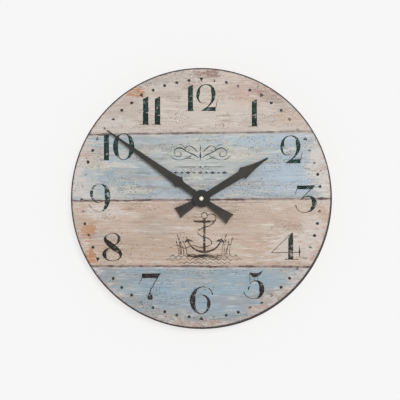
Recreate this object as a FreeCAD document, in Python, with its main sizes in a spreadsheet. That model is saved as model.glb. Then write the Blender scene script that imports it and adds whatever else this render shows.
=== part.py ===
import FreeCAD, Part
import Sketcher

import math
import os
import re

# A round wall clock with a printed board dial and a battery quartz movement behind it.
# Lengths are millimetres and angles are degrees.
# Each piece is drawn as seen from the front: x to the right, y up, and depth towards the
# viewer, with depth zero on the wall and the hands' axis at x = y = 0. FRONT stands that
# drawing upright, so that in the finished part x stays, y becomes +Z and depth becomes -Y.

Vector = FreeCAD.Vector
FRONT = FreeCAD.Rotation(Vector(1, 0, 0), 90)

doc = FreeCAD.newDocument("WallClock")
sizes = doc.addObject("Spreadsheet::Sheet", "Sizes")
places = doc.addObject("Spreadsheet::Sheet", "Places")
cells = {}
pieces = []


def formula(text):
    """Put the sheet's name before each size or place that a formula names."""
    return re.sub(r"[a-z_]+", lambda word: cells.get(word.group(), word.group()), text)


def fill(sheet, values):
    """Write named cells down a sheet, where a text is a formula."""
    for row, (name, value) in enumerate(values.items(), start=1):
        text = "=" + formula(value) if isinstance(value, str) else str(value)
        sheet.set(f"A{row}", name)
        sheet.set(f"B{row}", text)
        sheet.setAlias(f"B{row}", name)
        cells[name] = f"{sheet.Name}.{name}"
    sheet.recompute()


def number(text):
    """Work out what a formula gives now."""
    value = places.evalExpression(formula(text))
    return float(getattr(value, "Value", value))


def lies_at(measured, text):
    """Tell whether a measured place is where a formula puts it."""
    return math.isclose(measured, number(text), abs_tol=Part.Precision.approximation())


# Driving sizes

SIZES = {
    # Dial
    "dial_diameter": 360.0,
    "board_thickness": 4.0,
    "board_bevel": 0.7,
    "board_hole_room": 0.25,
    "rim_width": 1.1,
    "print_thickness": 0.25,

    # AA cell
    "cell_diameter": 14.2,
    "cell_length": 50.0,
    "button_diameter": 5.4,
    "button_height": 1.2,
    "jacket_thickness": 0.15,
    "jacket_inset": 0.2,
    "cell_room": 0.3,

    # Movement case
    "case_wall": 1.4,
    "case_floor": 1.2,
    "case_corner": 4.0,
    "case_edge": 0.8,
    "bay_wall": 1.2,
    "wall_gap": 0.7,
    "notch_width": 15.0,
    "notch_depth": 6.0,
    "cover_thickness": 1.2,
    "cover_rim": 1.2,
    "cover_fit": 0.12,
    "hook_width": 5.0,
    "hook_thickness": 1.0,
    "hook_rise": 2.2,
    "hook_lip": 0.6,
    "hook_room": 0.15,

    # Plates and pillars
    "plate_gap": 1.4,
    "train_plate_thickness": 1.0,
    "middle_plate_thickness": 0.8,
    "plate_margin": 0.4,
    "pillar_radius": 2.2,
    "pillar_waist": 1.4,
    "pillar_pin": 0.9,
    "pin_standout": 0.2,
    "pin_fit": 0.05,
    "left_pillar_height": 13.5,
    "right_pillar_height": 8.0,
    "boss_radius": 1.6,

    # Levels of the train
    "wheel_thickness": 0.7,
    "level_gap": 0.8,
    "end_shake": 0.3,
    "tooth_overhang": 0.1,
    "spring_room": 0.5,

    # Wheel centres
    "third_distance": 10.8,
    "third_angle": 150.0,
    "fifth_distance": 9.0,
    "fifth_angle": 60.0,
    "rotor_distance": 8.4,
    "rotor_angle": 20.0,
    "motion_distance": 8.4,
    "motion_angle": -15.0,
    "setting_angle": 10.0,

    # Teeth
    "rotor_teeth": 8,
    "fifth_teeth": 48,
    "fifth_pinion_teeth": 10,
    "seconds_teeth": 50,
    "seconds_pinion_teeth": 8,
    "third_teeth": 60,
    "third_pinion_teeth": 8,
    "centre_teeth": 64,
    "cannon_teeth": 12,
    "motion_teeth": 36,
    "motion_pinion_teeth": 10,
    "hour_teeth": 40,
    "setting_teeth": 12,
    "addendum_share": 0.9,
    "dedendum_share": 1.25,
    "tooth_width_share": 0.42,
    "tip_width_share": 0.5,

    # Arbors
    "running_fit": 0.05,
    "pivot_radius": 0.45,
    "pivot_standout": 0.2,
    "arbor_radius": 0.7,
    "hub_radius": 1.6,
    "web_hole_radius": 1.3,
    "centre_pivot_radius": 0.55,
    "centre_pivot_depth": 1.8,
    "journal_radius": 1.5,
    "minute_arbor_radius": 1.6,
    "hour_pipe_radius": 2.5,
    "setting_arbor_radius": 0.8,
    "stud_radius": 0.9,
    "pivot_hole_depth": 0.8,
    "boss_height": 1.3,
    "fifth_web_holes": 4,
    "seconds_web_holes": 5,
    "third_web_holes": 5,
    "centre_web_holes": 6,

    # Motor
    "magnet_radius": 3.0,
    "magnet_thickness": 1.6,
    "magnet_seat_radius": 0.9,
    "magnet_gap": 0.4,
    "stator_thickness": 0.8,
    "stator_rise": 0.5,
    "stator_ring": 1.7,
    "stator_foot": 2.2,
    "core_width": 3.0,
    "core_thickness": 0.8,
    "coil_span": 22.7,
    "coil_end_room": 3.4,
    "coil_gap": 1.9,
    "bobbin_half": 3.6,
    "bobbin_wall": 0.8,
    "winding_inset": 0.5,
    "post_radius": 1.8,
    "screw_radius": 0.8,
    "screw_head_radius": 1.5,
    "screw_head": 0.7,
    "screw_bite": 2.6,

    # Circuit board and contacts
    "board_plate": 1.0,
    "board_post": 6.2,
    "board_post_radius": 1.6,
    "board_pin_radius": 0.8,
    "board_side_room": 0.6,
    "board_low_room": 1.0,
    "strip_thickness": 0.3,
    "strip_width": 6.0,
    "strip_room": 0.2,
    "negative_bulge": 1.95,
    "positive_bulge": 1.15,
    "leaf_half": 4.5,
    "contact_gap": 0.05,
    "tab_reach": 3.6,
    "tab_width": 2.4,
    "crystal_radius": 1.05,
    "crystal_length": 6.2,
    "blob_radius": 3.0,
    "blob_height": 1.2,

    # Clutch spring
    "spring_thickness": 0.2,
    "spring_reach": 4.6,
    "spring_ring": 2.6,
    "spring_arm": 1.3,
    "spring_arms": 3,

    # Setting knob
    "knob_radius": 5.0,
    "knob_thickness": 2.4,
    "knob_recess": 0.4,
    "knob_room": 0.6,
    "knob_ribs": 20,
    "knob_rib_height": 0.35,
    "well_wall": 1.0,
    "knob_slot_width": 1.0,
    "knob_slot_depth": 0.6,

    # Hanger
    "hanger_thickness": 0.8,
    "hanger_width": 24.0,
    "hanger_drop": 13.0,
    "hanger_bend": 0.8,
    "hanger_room": 0.4,
    "tab_standoff": 3.0,
    "tab_length": 19.0,
    "tab_corner": 6.0,
    "nail_hole_radius": 4.0,
    "nail_hole_edge": 9.0,

    # Centre fixing
    "gasket_radius": 9.0,
    "gasket_thickness": 1.0,
    "thread_radius": 4.0,
    "collar_radius": 5.0,
    "bush_fit": 0.06,
    "thread_standout": 0.4,
    "washer_radius": 8.0,
    "washer_thickness": 0.6,
    "nut_flats": 12.0,
    "nut_thickness": 2.2,

    # Hands
    "hand_thickness": 0.8,
    "hand_disc_radius": 11.9,
    "hour_pipe_standout": 2.8,
    "collet_gap": 0.3,
    "collet_flange": 0.6,
    "collet_flange_radius": 4.2,
    "collet_radius": 3.3,
    "collet_rivet": 0.3,
    "hand_gap": 0.4,
    "flats_half": 1.25,
    "nut_thread": 2.0,
    "cap_radius": 3.3,
    "cap_skirt": 0.9,
    "cap_crown": 0.9,

    # Minute hand
    "minute_hand_angle": 305.8,
    "minute_length": 160.0,
    "minute_tip_half": 0.8,
    "minute_blade_start": 51.0,
    "minute_blade_half": 5.2,
    "minute_barb": 38.4,
    "minute_barb_half": 7.9,
    "minute_barb_foot": 32.6,
    "minute_neck_half": 4.2,
    "minute_tail": 48.7,
    "minute_tail_root": 3.7,
    "minute_tail_half": 8.1,

    # Hour hand
    "hour_hand_angle": 58.6,
    "hour_length": 107.0,
    "hour_tip_half": 1.25,
    "hour_barb": 66.9,
    "hour_barb_half": 8.8,
    "hour_barb_foot": 63.6,
    "hour_shaft_half": 5.4,
    "hour_neck_half": 4.0,
    "hour_tail": 38.8,
    "hour_tail_root": 4.6,
    "hour_tail_half": 8.1,

    # Curves of both hands
    "head_curve_share": 0.32,
    "shoulder_curve_share": 0.35,
    "tail_curve_share": 0.37,
    "tail_hollow": 1.1,
}

# Places worked out from them

PLACES = {
    # Wheel sizes and centres
    "third_module": "2 * third_distance / (seconds_pinion_teeth + third_teeth)",
    "centre_module": "2 * third_distance / (third_pinion_teeth + centre_teeth)",
    "seconds_module": "2 * fifth_distance / (fifth_pinion_teeth + seconds_teeth)",
    "fifth_module": "2 * rotor_distance / (rotor_teeth + fifth_teeth)",
    "motion_module": "2 * motion_distance / (cannon_teeth + motion_teeth)",
    "hour_module": "2 * motion_distance / (motion_pinion_teeth + hour_teeth)",
    "setting_distance": "motion_module * (motion_teeth + setting_teeth) / 2",
    "third_x": "third_distance * cos(third_angle)",
    "third_y": "third_distance * sin(third_angle)",
    "fifth_x": "fifth_distance * cos(fifth_angle)",
    "fifth_y": "fifth_distance * sin(fifth_angle)",
    "rotor_x": "fifth_x + rotor_distance * cos(rotor_angle)",
    "rotor_y": "fifth_y + rotor_distance * sin(rotor_angle)",
    "motion_x": "motion_distance * cos(motion_angle)",
    "motion_y": "motion_distance * sin(motion_angle)",
    "setting_x": "motion_x + setting_distance * cos(setting_angle)",
    "setting_y": "motion_y + setting_distance * sin(setting_angle)",
    "centre_reach": "centre_module * (centre_teeth / 2 + addendum_share)",
    "fifth_reach": "fifth_module * (fifth_teeth / 2 + addendum_share)",
    "third_pinion_reach": "centre_module * (third_pinion_teeth / 2 + addendum_share)",

    # Depths inside the case
    "train_plate_rear": "cover_thickness + plate_gap",
    "train_plate_front": "train_plate_rear + train_plate_thickness",
    "magnet_rear": "train_plate_front + end_shake",
    "magnet_front": "magnet_rear + magnet_thickness",
    "fifth_rear": "magnet_front + end_shake",
    "seconds_rear": "fifth_rear + wheel_thickness + level_gap",
    "third_rear": "seconds_rear + wheel_thickness + level_gap",
    "middle_plate_rear": "third_rear + wheel_thickness + end_shake",
    "middle_plate_front": "middle_plate_rear + middle_plate_thickness",
    "centre_rear": "middle_plate_front + end_shake",
    "cannon_rear": "centre_rear + wheel_thickness + spring_room",
    "motion_rear": "cannon_rear + tooth_overhang",
    "cannon_front": "motion_rear + wheel_thickness + tooth_overhang",
    "hour_rear": "motion_rear + wheel_thickness + level_gap",
    "hour_front": "hour_rear + wheel_thickness",
    "floor_rear": "max(hour_front + level_gap; cell_diameter + 2 * cell_room)",
    "case_depth": "floor_rear + case_floor",
    "boss_rear": "floor_rear - boss_height",
    "arbor_front": "boss_rear + pivot_hole_depth",

    # Depths from the case to the cap nut
    "hanger_front": "case_depth + hanger_thickness",
    "board_rear": "hanger_front + gasket_thickness",
    "board_front": "board_rear + board_thickness",
    "print_front": "board_front + print_thickness",
    "washer_front": "print_front + washer_thickness",
    "nut_front": "washer_front + nut_thickness",
    "bush_front": "nut_front + thread_standout",
    "collet_rear": "bush_front + collet_gap",
    "hour_hand_rear": "collet_rear + collet_flange",
    "hour_hand_front": "hour_hand_rear + hand_thickness",
    "hour_pipe_front": "bush_front + hour_pipe_standout",
    "minute_hand_rear": "hour_pipe_front + hand_gap",
    "minute_hand_front": "minute_hand_rear + hand_thickness",
    "arbor_thread_front": "minute_hand_front + nut_thread",
    "cap_front": "arbor_thread_front + cap_crown",

    # Case outline
    "inner_half_width": "(cell_length + negative_bulge + positive_bulge) / 2 + contact_gap",
    "case_half_width": "inner_half_width + case_wall",
    "coil_y": "fifth_y + fifth_reach + coil_gap + bobbin_half - winding_inset",
    "bay_height": "cell_diameter + 2 * cell_room",
    "lower_inner": "centre_reach + wall_gap + bay_wall + bay_height",
    "upper_inner": "coil_y + bobbin_half + strip_thickness + strip_room",
    "inner_half_height": "max(lower_inner; upper_inner)",
    "case_half_height": "inner_half_height + case_wall",
    "inner_corner": "case_corner - case_wall",
    "bay_top": "bay_height - inner_half_height",
    "bay_wall_top": "bay_top + bay_wall",
    "cell_y": "bay_top - cell_room - cell_diameter / 2",
    "cell_depth": "floor_rear - cell_room - cell_diameter / 2",
    "cell_start": "negative_bulge + contact_gap - inner_half_width",
    "strip_rear": "cell_depth - strip_width / 2",
    "strip_front": "cell_depth + strip_width / 2",
    "strip_face": "inner_half_width - strip_thickness",
    "strip_top": "inner_half_height - strip_thickness",
    "pillar_x": "strip_face - strip_room - pillar_radius",
    "low_pillar_y": "bay_wall_top + pillar_radius + plate_margin",
    "cover_half_width": "inner_half_width - cover_fit",
    "cover_low": "bay_wall_top + cover_fit",
    "cover_high": "inner_half_height - cover_fit",
    "hook_front": "cover_thickness + hook_rise",

    # Motor, circuit board and setting knob
    "stator_rear": "train_plate_front + stator_rise",
    "stator_front": "stator_rear + stator_thickness",
    "stator_hole": "magnet_radius + magnet_gap",
    "stator_reach": "stator_hole + stator_ring",
    "core_front": "stator_front + core_thickness",
    "core_depth": "stator_front + core_thickness / 2",
    "coil_right": "inner_half_width - coil_end_room",
    "coil_left": "coil_right - coil_span",
    "bobbin_left": "coil_left + stator_foot + strip_room",
    "bobbin_right": "coil_right - stator_foot - strip_room",
    "pcb_front": "floor_rear - board_post",
    "pcb_rear": "pcb_front - board_plate",
    "pcb_left": "strip_room - strip_face",
    "pcb_right": "coil_left - stator_foot - board_side_room",
    "pcb_low": "left_pillar_height + pillar_radius + board_low_room",
    "pcb_high": "strip_top - board_side_room",
    "pcb_middle": "(pcb_low + pcb_high) / 2",
    "pcb_post_inset": "tab_reach + board_post_radius",
    "knob_front": "knob_recess + knob_thickness",
    "well_radius": "knob_radius + knob_room",
    "well_front": "knob_front + end_shake + well_wall",
    "well_reach": "well_radius + well_wall",
    "hanger_riser": "case_half_height + hanger_room",
    "hanger_top": "hanger_riser + hanger_thickness + tab_length",
    "tab_front": "tab_standoff + hanger_thickness",
    "nail_y": "hanger_top - nail_hole_edge",
}


fill(sizes, SIZES)
fill(places, PLACES)


# Drawing and feature tools

def tie_point(drawing, index, end, x, y):
    """Tie a point of a sketch to its formulas."""
    for kind, axis, text in (("DistanceX", -2, x), ("DistanceY", -1, y)):
        if text == "0":
            drawing.addConstraint(Sketcher.Constraint("PointOnObject", index, end, axis))
            continue
        rule = Sketcher.Constraint(kind, -1, 1, index, end, number(text))
        drawing.setExpression(f"Constraints[{drawing.addConstraint(rule)}]", formula(text))


def circle(radius, x="0", y="0"):
    """A circle for a sketch."""
    def draw(drawing):
        centre = Vector(number(x), number(y), 0)
        index = drawing.addGeometry(Part.Circle(centre, Vector(0, 0, 1), number(radius)), False)
        tie_point(drawing, index, 3, x, y)
        rule = Sketcher.Constraint("Radius", index, number(radius))
        drawing.setExpression(f"Constraints[{drawing.addConstraint(rule)}]", formula(radius))
    return draw


def outline(points):
    """A closed outline. A point (x, y) ends a line, and (x, y, via x, via y) ends an arc."""
    def draw(drawing):
        corners = [Vector(number(point[0]), number(point[1]), 0) for point in points]
        ends = []
        for index, point in enumerate(points):
            start = corners[index - 1]
            edge = Part.LineSegment(start, corners[index])
            if len(point) > 2:
                via = Vector(number(point[2]), number(point[3]), 0)
                edge = Part.Arc(start, via, corners[index])
            edge_index = drawing.addGeometry(edge, False)
            forward = drawing.getPoint(edge_index, 1).isEqual(start, Part.Precision.confusion())
            ends.append((edge_index, 1, 2) if forward else (edge_index, 2, 1))
        for index, point in enumerate(points):
            edge_index, first, last = ends[index]
            before_index, before_first, before_last = ends[index - 1]
            rule = Sketcher.Constraint("Coincident", before_index, before_last, edge_index, first)
            drawing.addConstraint(rule)
            tie_point(drawing, edge_index, last, point[0], point[1])
    return draw


def crown(radius, base, top):
    """The end of an arc that rises from a rim at the base to a round top on the axis."""
    rise = f"({top} - ({base}))"
    curve = f"(({radius})^2 + {rise}^2) / (2 * {rise})"
    half = f"asin(({radius}) / abs({curve})) / 2"
    return "0", top, f"abs({curve}) * sin({half})", f"{top} - ({curve}) * (1 - cos({half}))"


def shifted(text, sign, amount):
    """A formula moved up or down by an amount, or left as it is for sign 0."""
    return text if sign == 0 else f"({text}) {'+' if sign > 0 else '-'} ({amount})"


def rounded(points):
    """Points of an outline with square corners, where (x, y, radius) rounds a corner."""
    spots = [(number(point[0]), number(point[1])) for point in points]
    path = []
    for index, (x, y, *radius) in enumerate(points):
        if not radius:
            path.append((x, y))
            continue
        signs = []
        for other in (spots[index - 1], spots[(index + 1) % len(spots)]):
            step = (other[0] - spots[index][0], other[1] - spots[index][1])
            longest = max(abs(step[0]), abs(step[1]))
            signs.append([round(part / longest) for part in step])
        before, after = signs
        inset = f"({radius[0]}) * (1 - cos(45))"
        path.append((shifted(x, before[0], radius[0]), shifted(y, before[1], radius[0])))
        path.append((shifted(x, after[0], radius[0]), shifted(y, after[1], radius[0]),
                     shifted(x, before[0] + after[0], inset),
                     shifted(y, before[1] + after[1], inset)))
    return outline(path)


def rectangle(left, low, right, high, *radius):
    """A rectangle, with rounded corners if a radius is given."""
    corners = [(left, low), (right, low), (right, high), (left, high)]
    return rounded([corner + radius for corner in corners])


def teeth(count, module, phase):
    """A toothed outline: radial flanks up to the pitch circle and tapered tips above it."""
    def draw(drawing):
        total = round(number(count))
        pitch = number(module) * total / 2
        root = pitch - number(module) * number("dedendum_share")
        tip = pitch + number(module) * number("addendum_share")
        half = number("tooth_width_share") * math.pi / total
        narrow = half * number("tip_width_share")
        flank = [(root, -half), (pitch, -half), (tip, -narrow)]
        flank += [(tip, narrow), (pitch, half), (root, half)]
        spots = []
        for tooth in range(total):
            middle = math.radians(phase) + math.tau * tooth / total
            for radius, side in flank:
                angle = middle + side
                spots.append(Vector(radius * math.cos(angle), radius * math.sin(angle), 0))
        edges = [Part.LineSegment(spots[index - 1], spot) for index, spot in enumerate(spots)]
        drawing.addGeometry(edges, False)
    return draw


def meshed(angle, phase, count, next_count):
    """The phase that puts a gap of the next wheel on a tooth of this one, seen at angle."""
    return angle + 180 - (phase - angle) * number(count) / number(next_count) \
        + 180 / number(next_count)


def sketch(body, plane, offset, loops):
    """A sketch on one of the body's own planes, moved along its normal."""
    drawing = body.newObject("Sketcher::SketchObject", "Drawing")
    support = next(item for item in body.Origin.OriginFeatures if item.Role == plane)
    drawing.AttachmentSupport = (support, [""])
    drawing.MapMode = "FlatFace"
    drawing.setExpression(".AttachmentOffset.Base.z", formula(offset))
    for loop in loops:
        loop(drawing)
    return drawing


def piece(name, x="0", y="0", turn=0.0):
    """A new body for a sub-part, standing at x, y on the dial, turned clockwise."""
    body = doc.addObject("PartDesign::Body", name)
    body.Label = name
    body.Placement.Rotation = FRONT * FreeCAD.Rotation(Vector(0, 0, 1), -turn)
    body.setExpression("Placement.Base.x", formula(x))
    body.setExpression("Placement.Base.z", formula(y))
    pieces.append(body)
    return body


def finish_cut(body, before, name):
    """Make sure that a cut has taken something away."""
    doc.recompute()
    if body.Shape.Volume >= before:
        raise RuntimeError(f"{name} of {body.Label} cuts nothing")


def pad(body, rear, front, *loops, plane="XY_Plane"):
    """Raise loops from a rear depth to a front depth."""
    drawing = sketch(body, plane, rear, loops)
    feature = body.newObject("PartDesign::Pad", "Pad")
    feature.Profile = drawing
    feature.setExpression("Length", formula(f"({front}) - ({rear})"))
    doc.recompute()
    return feature


def pocket(body, rear, front, *loops, plane="XY_Plane"):
    """Cut loops away between a rear depth and a front depth."""
    before = body.Shape.Volume
    drawing = sketch(body, plane, front, loops)
    feature = body.newObject("PartDesign::Pocket", "Pocket")
    feature.Profile = drawing
    feature.setExpression("Length", formula(f"({front}) - ({rear})"))
    finish_cut(body, before, "a pocket")
    return feature


def turned(body, points):
    """Turn an outline of (radius, depth) points about the piece's own axis."""
    drawing = sketch(body, "XZ_Plane", "0", [outline(points)])
    feature = body.newObject("PartDesign::Revolution", "Turning")
    feature.Profile = drawing
    feature.ReferenceAxis = (drawing, ["V_Axis"])
    feature.Angle = 360
    doc.recompute()
    return feature


def ring_of(body, feature, count):
    """Repeat a feature evenly about the piece's own axis."""
    before = body.Shape.Volume
    pattern = body.newObject("PartDesign::PolarPattern", "Ring")
    pattern.Originals = [feature]
    axis = next(item for item in body.Origin.OriginFeatures if item.Role == "Z_Axis")
    pattern.Axis = (axis, [""])
    pattern.Angle = 360
    pattern.setExpression("Occurrences", formula(count))
    body.Tip = pattern
    doc.recompute()
    if math.isclose(body.Shape.Volume, before):
        raise RuntimeError(f"a ring of {body.Label} adds nothing")
    return pattern


# Dial board: a bevelled disc with a hole for the threaded bush

board = piece("dial_board")
board_hole = "thread_radius + board_hole_room"
board_edge = "dial_diameter / 2"
turned(board, [
    (board_hole, "board_rear"),
    (f"{board_edge} - board_bevel", "board_rear"),
    (board_edge, "board_rear + board_bevel"),
    (board_edge, "board_front - board_bevel"),
    (f"{board_edge} - board_bevel", "board_front"),
    (board_hole, "board_front")])

# Dial print: the thin printed sheet stuck on the board's face

dial_print = piece("dial_print")
pad(dial_print, "board_front", "print_front",
    circle("dial_diameter / 2 - rim_width"), circle(board_hole))

# Movement case: an open-backed box with a battery bay below and pillars for the plates

case = piece("movement_case")
block = pad(case, "0", "case_depth",
            rectangle("-case_half_width", "-case_half_height",
                      "case_half_width", "case_half_height", "case_corner"))
rim_edges = [f"Edge{index + 1}" for index, edge in enumerate(case.Shape.Edges)
             if lies_at(edge.BoundBox.YMin, "-case_depth")
             and lies_at(edge.BoundBox.YMax, "-case_depth")]
soft_edge = case.newObject("PartDesign::Fillet", "SoftEdge")
soft_edge.Base = (block, rim_edges)
soft_edge.setExpression("Radius", formula("case_edge"))
doc.recompute()
pocket(case, "0", "floor_rear",
       rounded([("-inner_half_width", "bay_wall_top"),
                ("inner_half_width", "bay_wall_top"),
                ("inner_half_width", "inner_half_height", "inner_corner"),
                ("-inner_half_width", "inner_half_height", "inner_corner")]))
pocket(case, "0", "floor_rear",
       rounded([("-inner_half_width", "-inner_half_height", "inner_corner"),
                ("inner_half_width", "-inner_half_height", "inner_corner"),
                ("inner_half_width", "bay_top"),
                ("-inner_half_width", "bay_top")]))
pillars = [("-pillar_x", "left_pillar_height"), ("-pillar_x", "low_pillar_y"),
           ("pillar_x", "right_pillar_height")]
corner_pillar = ("pillar_x", "low_pillar_y")
pad(case, "middle_plate_front", "floor_rear",
    *[circle("pillar_radius", x, y) for x, y in pillars + [corner_pillar]])
pad(case, "train_plate_front", "middle_plate_front",
    *[circle("pillar_waist", x, y) for x, y in pillars])
pad(case, "train_plate_rear - pin_standout", "train_plate_front",
    *[circle("pillar_pin", x, y) for x, y in pillars])
pad(case, "middle_plate_rear - pin_standout", "middle_plate_front",
    circle("pillar_waist", *corner_pillar))
posts = [("pcb_left + pcb_post_inset", "pcb_middle"), ("pcb_right - pcb_post_inset", "pcb_middle")]
pad(case, "pcb_front", "floor_rear", *[circle("board_post_radius", x, y) for x, y in posts])
pad(case, "pcb_rear - pin_standout", "pcb_front",
    *[circle("board_pin_radius", x, y) for x, y in posts])
feet = [("coil_left", "coil_y"), ("coil_right", "coil_y")]
pad(case, "core_front", "floor_rear", *[circle("post_radius", x, y) for x, y in feet])
bosses = [("third_x", "third_y"), ("setting_x", "setting_y")]
pad(case, "boss_rear", "floor_rear", *[circle("boss_radius", x, y) for x, y in bosses])
pad(case, "motion_rear - end_shake", "floor_rear", circle("stud_radius", "motion_x", "motion_y"))
pocket(case, "boss_rear", "arbor_front",
       *[circle("pivot_radius + running_fit", x, y) for x, y in bosses])
pocket(case, "core_front", "core_front + screw_bite",
       *[circle("screw_radius", x, y) for x, y in feet])
pocket(case, "floor_rear", "case_depth", circle("collar_radius"))
for side in ("-", ""):
    strip_edges = sorted([f"{side}(strip_face - strip_room)", f"{side}inner_half_width"], key=number)
    pocket(case, "0", "strip_front + strip_room",
           rectangle(strip_edges[0], "bay_top", strip_edges[1], "bay_wall_top"))
    wall_edges = sorted([f"{side}inner_half_width", f"{side}case_half_width"], key=number)
    pocket(case, *wall_edges,
           rectangle("-hook_width / 2 - hook_room", "hook_front - hook_thickness - hook_room",
                     "hook_width / 2 + hook_room", "hook_front + hook_room"),
           plane="YZ_Plane")
pocket(case, "0", "notch_depth",
       rectangle("-notch_width / 2", "-case_half_height", "notch_width / 2", "-inner_half_height"))

# Threaded bush: the brass sleeve that carries the pipes and clamps the dial

bush = piece("threaded_bush")
bush_bore = "hour_pipe_radius + bush_fit"
turned(bush, [
    (bush_bore, "floor_rear"),
    ("collar_radius", "floor_rear"),
    ("collar_radius", "case_depth"),
    ("thread_radius", "case_depth"),
    ("thread_radius", "bush_front"),
    (bush_bore, "bush_front")])

# Middle plate: carries the front pivots and the minute arbor's journal

middle_plate = piece("middle_plate")
plate_edge = "pillar_x + pillar_waist + plate_margin"
plate_low = "low_pillar_y - pillar_waist - plate_margin"
plate_high = "left_pillar_height + pillar_waist + plate_margin"
pad(middle_plate, "middle_plate_rear", "middle_plate_front",
    rectangle(f"-({plate_edge})", plate_low, plate_edge, plate_high, "pillar_waist"))
pocket(middle_plate, "middle_plate_rear", "middle_plate_front",
       circle("journal_radius + running_fit"),
       circle("pivot_radius + running_fit", "fifth_x", "fifth_y"),
       circle("pivot_radius + running_fit", "rotor_x", "rotor_y"),
       circle("third_pinion_reach + end_shake", "third_x", "third_y"),
       circle("setting_arbor_radius + running_fit", "setting_x", "setting_y"),
       *[circle("pillar_waist + pin_fit", x, y) for x, y in pillars + [corner_pillar]])

# Train plate: carries the rear pivots, cut away round the setting knob's well

train_plate = piece("train_plate")
pad(train_plate, "train_plate_rear", "train_plate_front",
    rectangle(f"-({plate_edge})", plate_low, plate_edge, plate_high, "pillar_waist"))
well_space = "well_reach + end_shake"
pocket(train_plate, "train_plate_rear", "train_plate_front",
       outline([(f"setting_x - ({well_space})", "setting_y",
                 "setting_x", f"setting_y + {well_space}"),
                (f"setting_x - ({well_space})", plate_low),
                (plate_edge, plate_low),
                (plate_edge, "setting_y"),
                (f"setting_x + {well_space}", "setting_y")]))
hook_space = "hook_width / 2 + end_shake"
hook_inside = "cover_half_width - hook_thickness - end_shake"
for left, right in ((f"-({plate_edge})", f"-({hook_inside})"), (hook_inside, plate_edge)):
    pocket(train_plate, "train_plate_rear", "train_plate_front",
           rectangle(left, f"-({hook_space})", right, hook_space))
pocket(train_plate, "train_plate_rear", "train_plate_front",
       circle("pivot_radius + running_fit"),
       circle("pivot_radius + running_fit", "third_x", "third_y"),
       circle("pivot_radius + running_fit", "fifth_x", "fifth_y"),
       circle("pivot_radius + running_fit", "rotor_x", "rotor_y"),
       *[circle("pillar_pin + pin_fit", x, y) for x, y in pillars])

# Back cover: snaps over the train, with a sunk well for the setting knob

cover = piece("back_cover")
pad(cover, "0", "cover_thickness",
    rounded([("-cover_half_width", "cover_low"),
             ("cover_half_width", "cover_low"),
             ("cover_half_width", "cover_high", "inner_corner"),
             ("-cover_half_width", "cover_high", "inner_corner")]))
pad(cover, "cover_thickness", "well_front", circle("well_reach", "setting_x", "setting_y"))
pad(cover, "cover_thickness", "cover_thickness + cover_rim",
    rectangle("-cover_half_width / 2", "cover_high - cover_rim", "cover_half_width / 2", "cover_high"))
pocket(cover, "0", "well_front - well_wall", circle("well_radius", "setting_x", "setting_y"))
pocket(cover, "well_front - well_wall", "well_front",
       circle("setting_arbor_radius + running_fit", "setting_x", "setting_y"))
for side in ("-", ""):
    root, face = f"{side}(cover_half_width - hook_thickness)", f"{side}cover_half_width"
    nose = f"{side}(cover_half_width + hook_lip)"
    pad(cover, "-hook_width / 2", "hook_width / 2",
        outline([(root, "cover_thickness"),
                 (face, "cover_thickness"),
                 (face, "hook_front - hook_thickness"),
                 (nose, "hook_front - hook_thickness"),
                 (nose, "hook_front - hook_thickness / 2"),
                 (face, "hook_front"),
                 (root, "hook_front")]),
        plane="XZ_Plane")

# Setting knob: a ribbed disc with a screwdriver slot, pressed on the setting arbor

knob = piece("setting_knob", "setting_x", "setting_y")
pad(knob, "knob_recess", "knob_front",
    teeth("knob_ribs", "2 * (knob_radius - knob_rib_height) / knob_ribs", 0))
pocket(knob, "knob_recess", "knob_recess + knob_slot_depth",
       rectangle("-knob_radius / 2", "-knob_slot_width / 2", "knob_radius / 2", "knob_slot_width / 2"))
pocket(knob, "knob_front - knob_thickness / 2", "knob_front", circle("setting_arbor_radius"))

# Phases: each wheel is turned so that it stands in mesh with the one before it

fifth_phase = meshed(number("rotor_angle") + 180, 0, "rotor_teeth", "fifth_teeth")
seconds_phase = meshed(number("fifth_angle") + 180, 0, "fifth_pinion_teeth", "seconds_teeth")
third_phase = meshed(number("third_angle"), 0, "seconds_pinion_teeth", "third_teeth")
centre_phase = meshed(number("third_angle") + 180, 0, "third_pinion_teeth", "centre_teeth")
motion_phase = meshed(number("motion_angle"), 0, "cannon_teeth", "motion_teeth")
hour_phase = meshed(number("motion_angle") + 180, 0, "motion_pinion_teeth", "hour_teeth")
setting_phase = meshed(number("setting_angle"), motion_phase, "motion_teeth", "setting_teeth")


def arbor(body, pivot_rear, shoulder, front_shoulder, pivot_front, radius="arbor_radius"):
    """A turned arbor with a thinner pivot at each end."""
    turned(body, [
        ("0", pivot_rear),
        ("pivot_radius", pivot_rear),
        ("pivot_radius", shoulder),
        (radius, shoulder),
        (radius, front_shoulder),
        ("pivot_radius", front_shoulder),
        ("pivot_radius", pivot_front),
        ("0", pivot_front)])


def web_holes(body, rear, front, module, count, holes):
    """Round holes through a wheel's web, halfway between its hub and its teeth."""
    rim = f"{module} * ({count} / 2 - dedendum_share)"
    hole = pocket(body, rear, front, circle("web_hole_radius", f"(hub_radius + {rim}) / 2"))
    ring_of(body, hole, holes)


train_pivot = "train_plate_rear - pivot_standout"
train_shoulder = "train_plate_front + end_shake / 2"
middle_shoulder = "middle_plate_rear - end_shake / 2"
middle_pivot = "middle_plate_front + pivot_standout"

# Setting arbor: runs from the knob to its pinion in mesh with the motion wheel

setting_arbor = piece("setting_arbor", "setting_x", "setting_y")
turned(setting_arbor, [
    ("0", "knob_front - knob_thickness / 2"),
    ("setting_arbor_radius", "knob_front - knob_thickness / 2"),
    ("setting_arbor_radius", "boss_rear - end_shake"),
    ("pivot_radius", "boss_rear - end_shake"),
    ("pivot_radius", "arbor_front - end_shake / 2"),
    ("0", "arbor_front - end_shake / 2")])
pad(setting_arbor, "cannon_rear", "cannon_front",
    teeth("setting_teeth", "motion_module", setting_phase))

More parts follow.
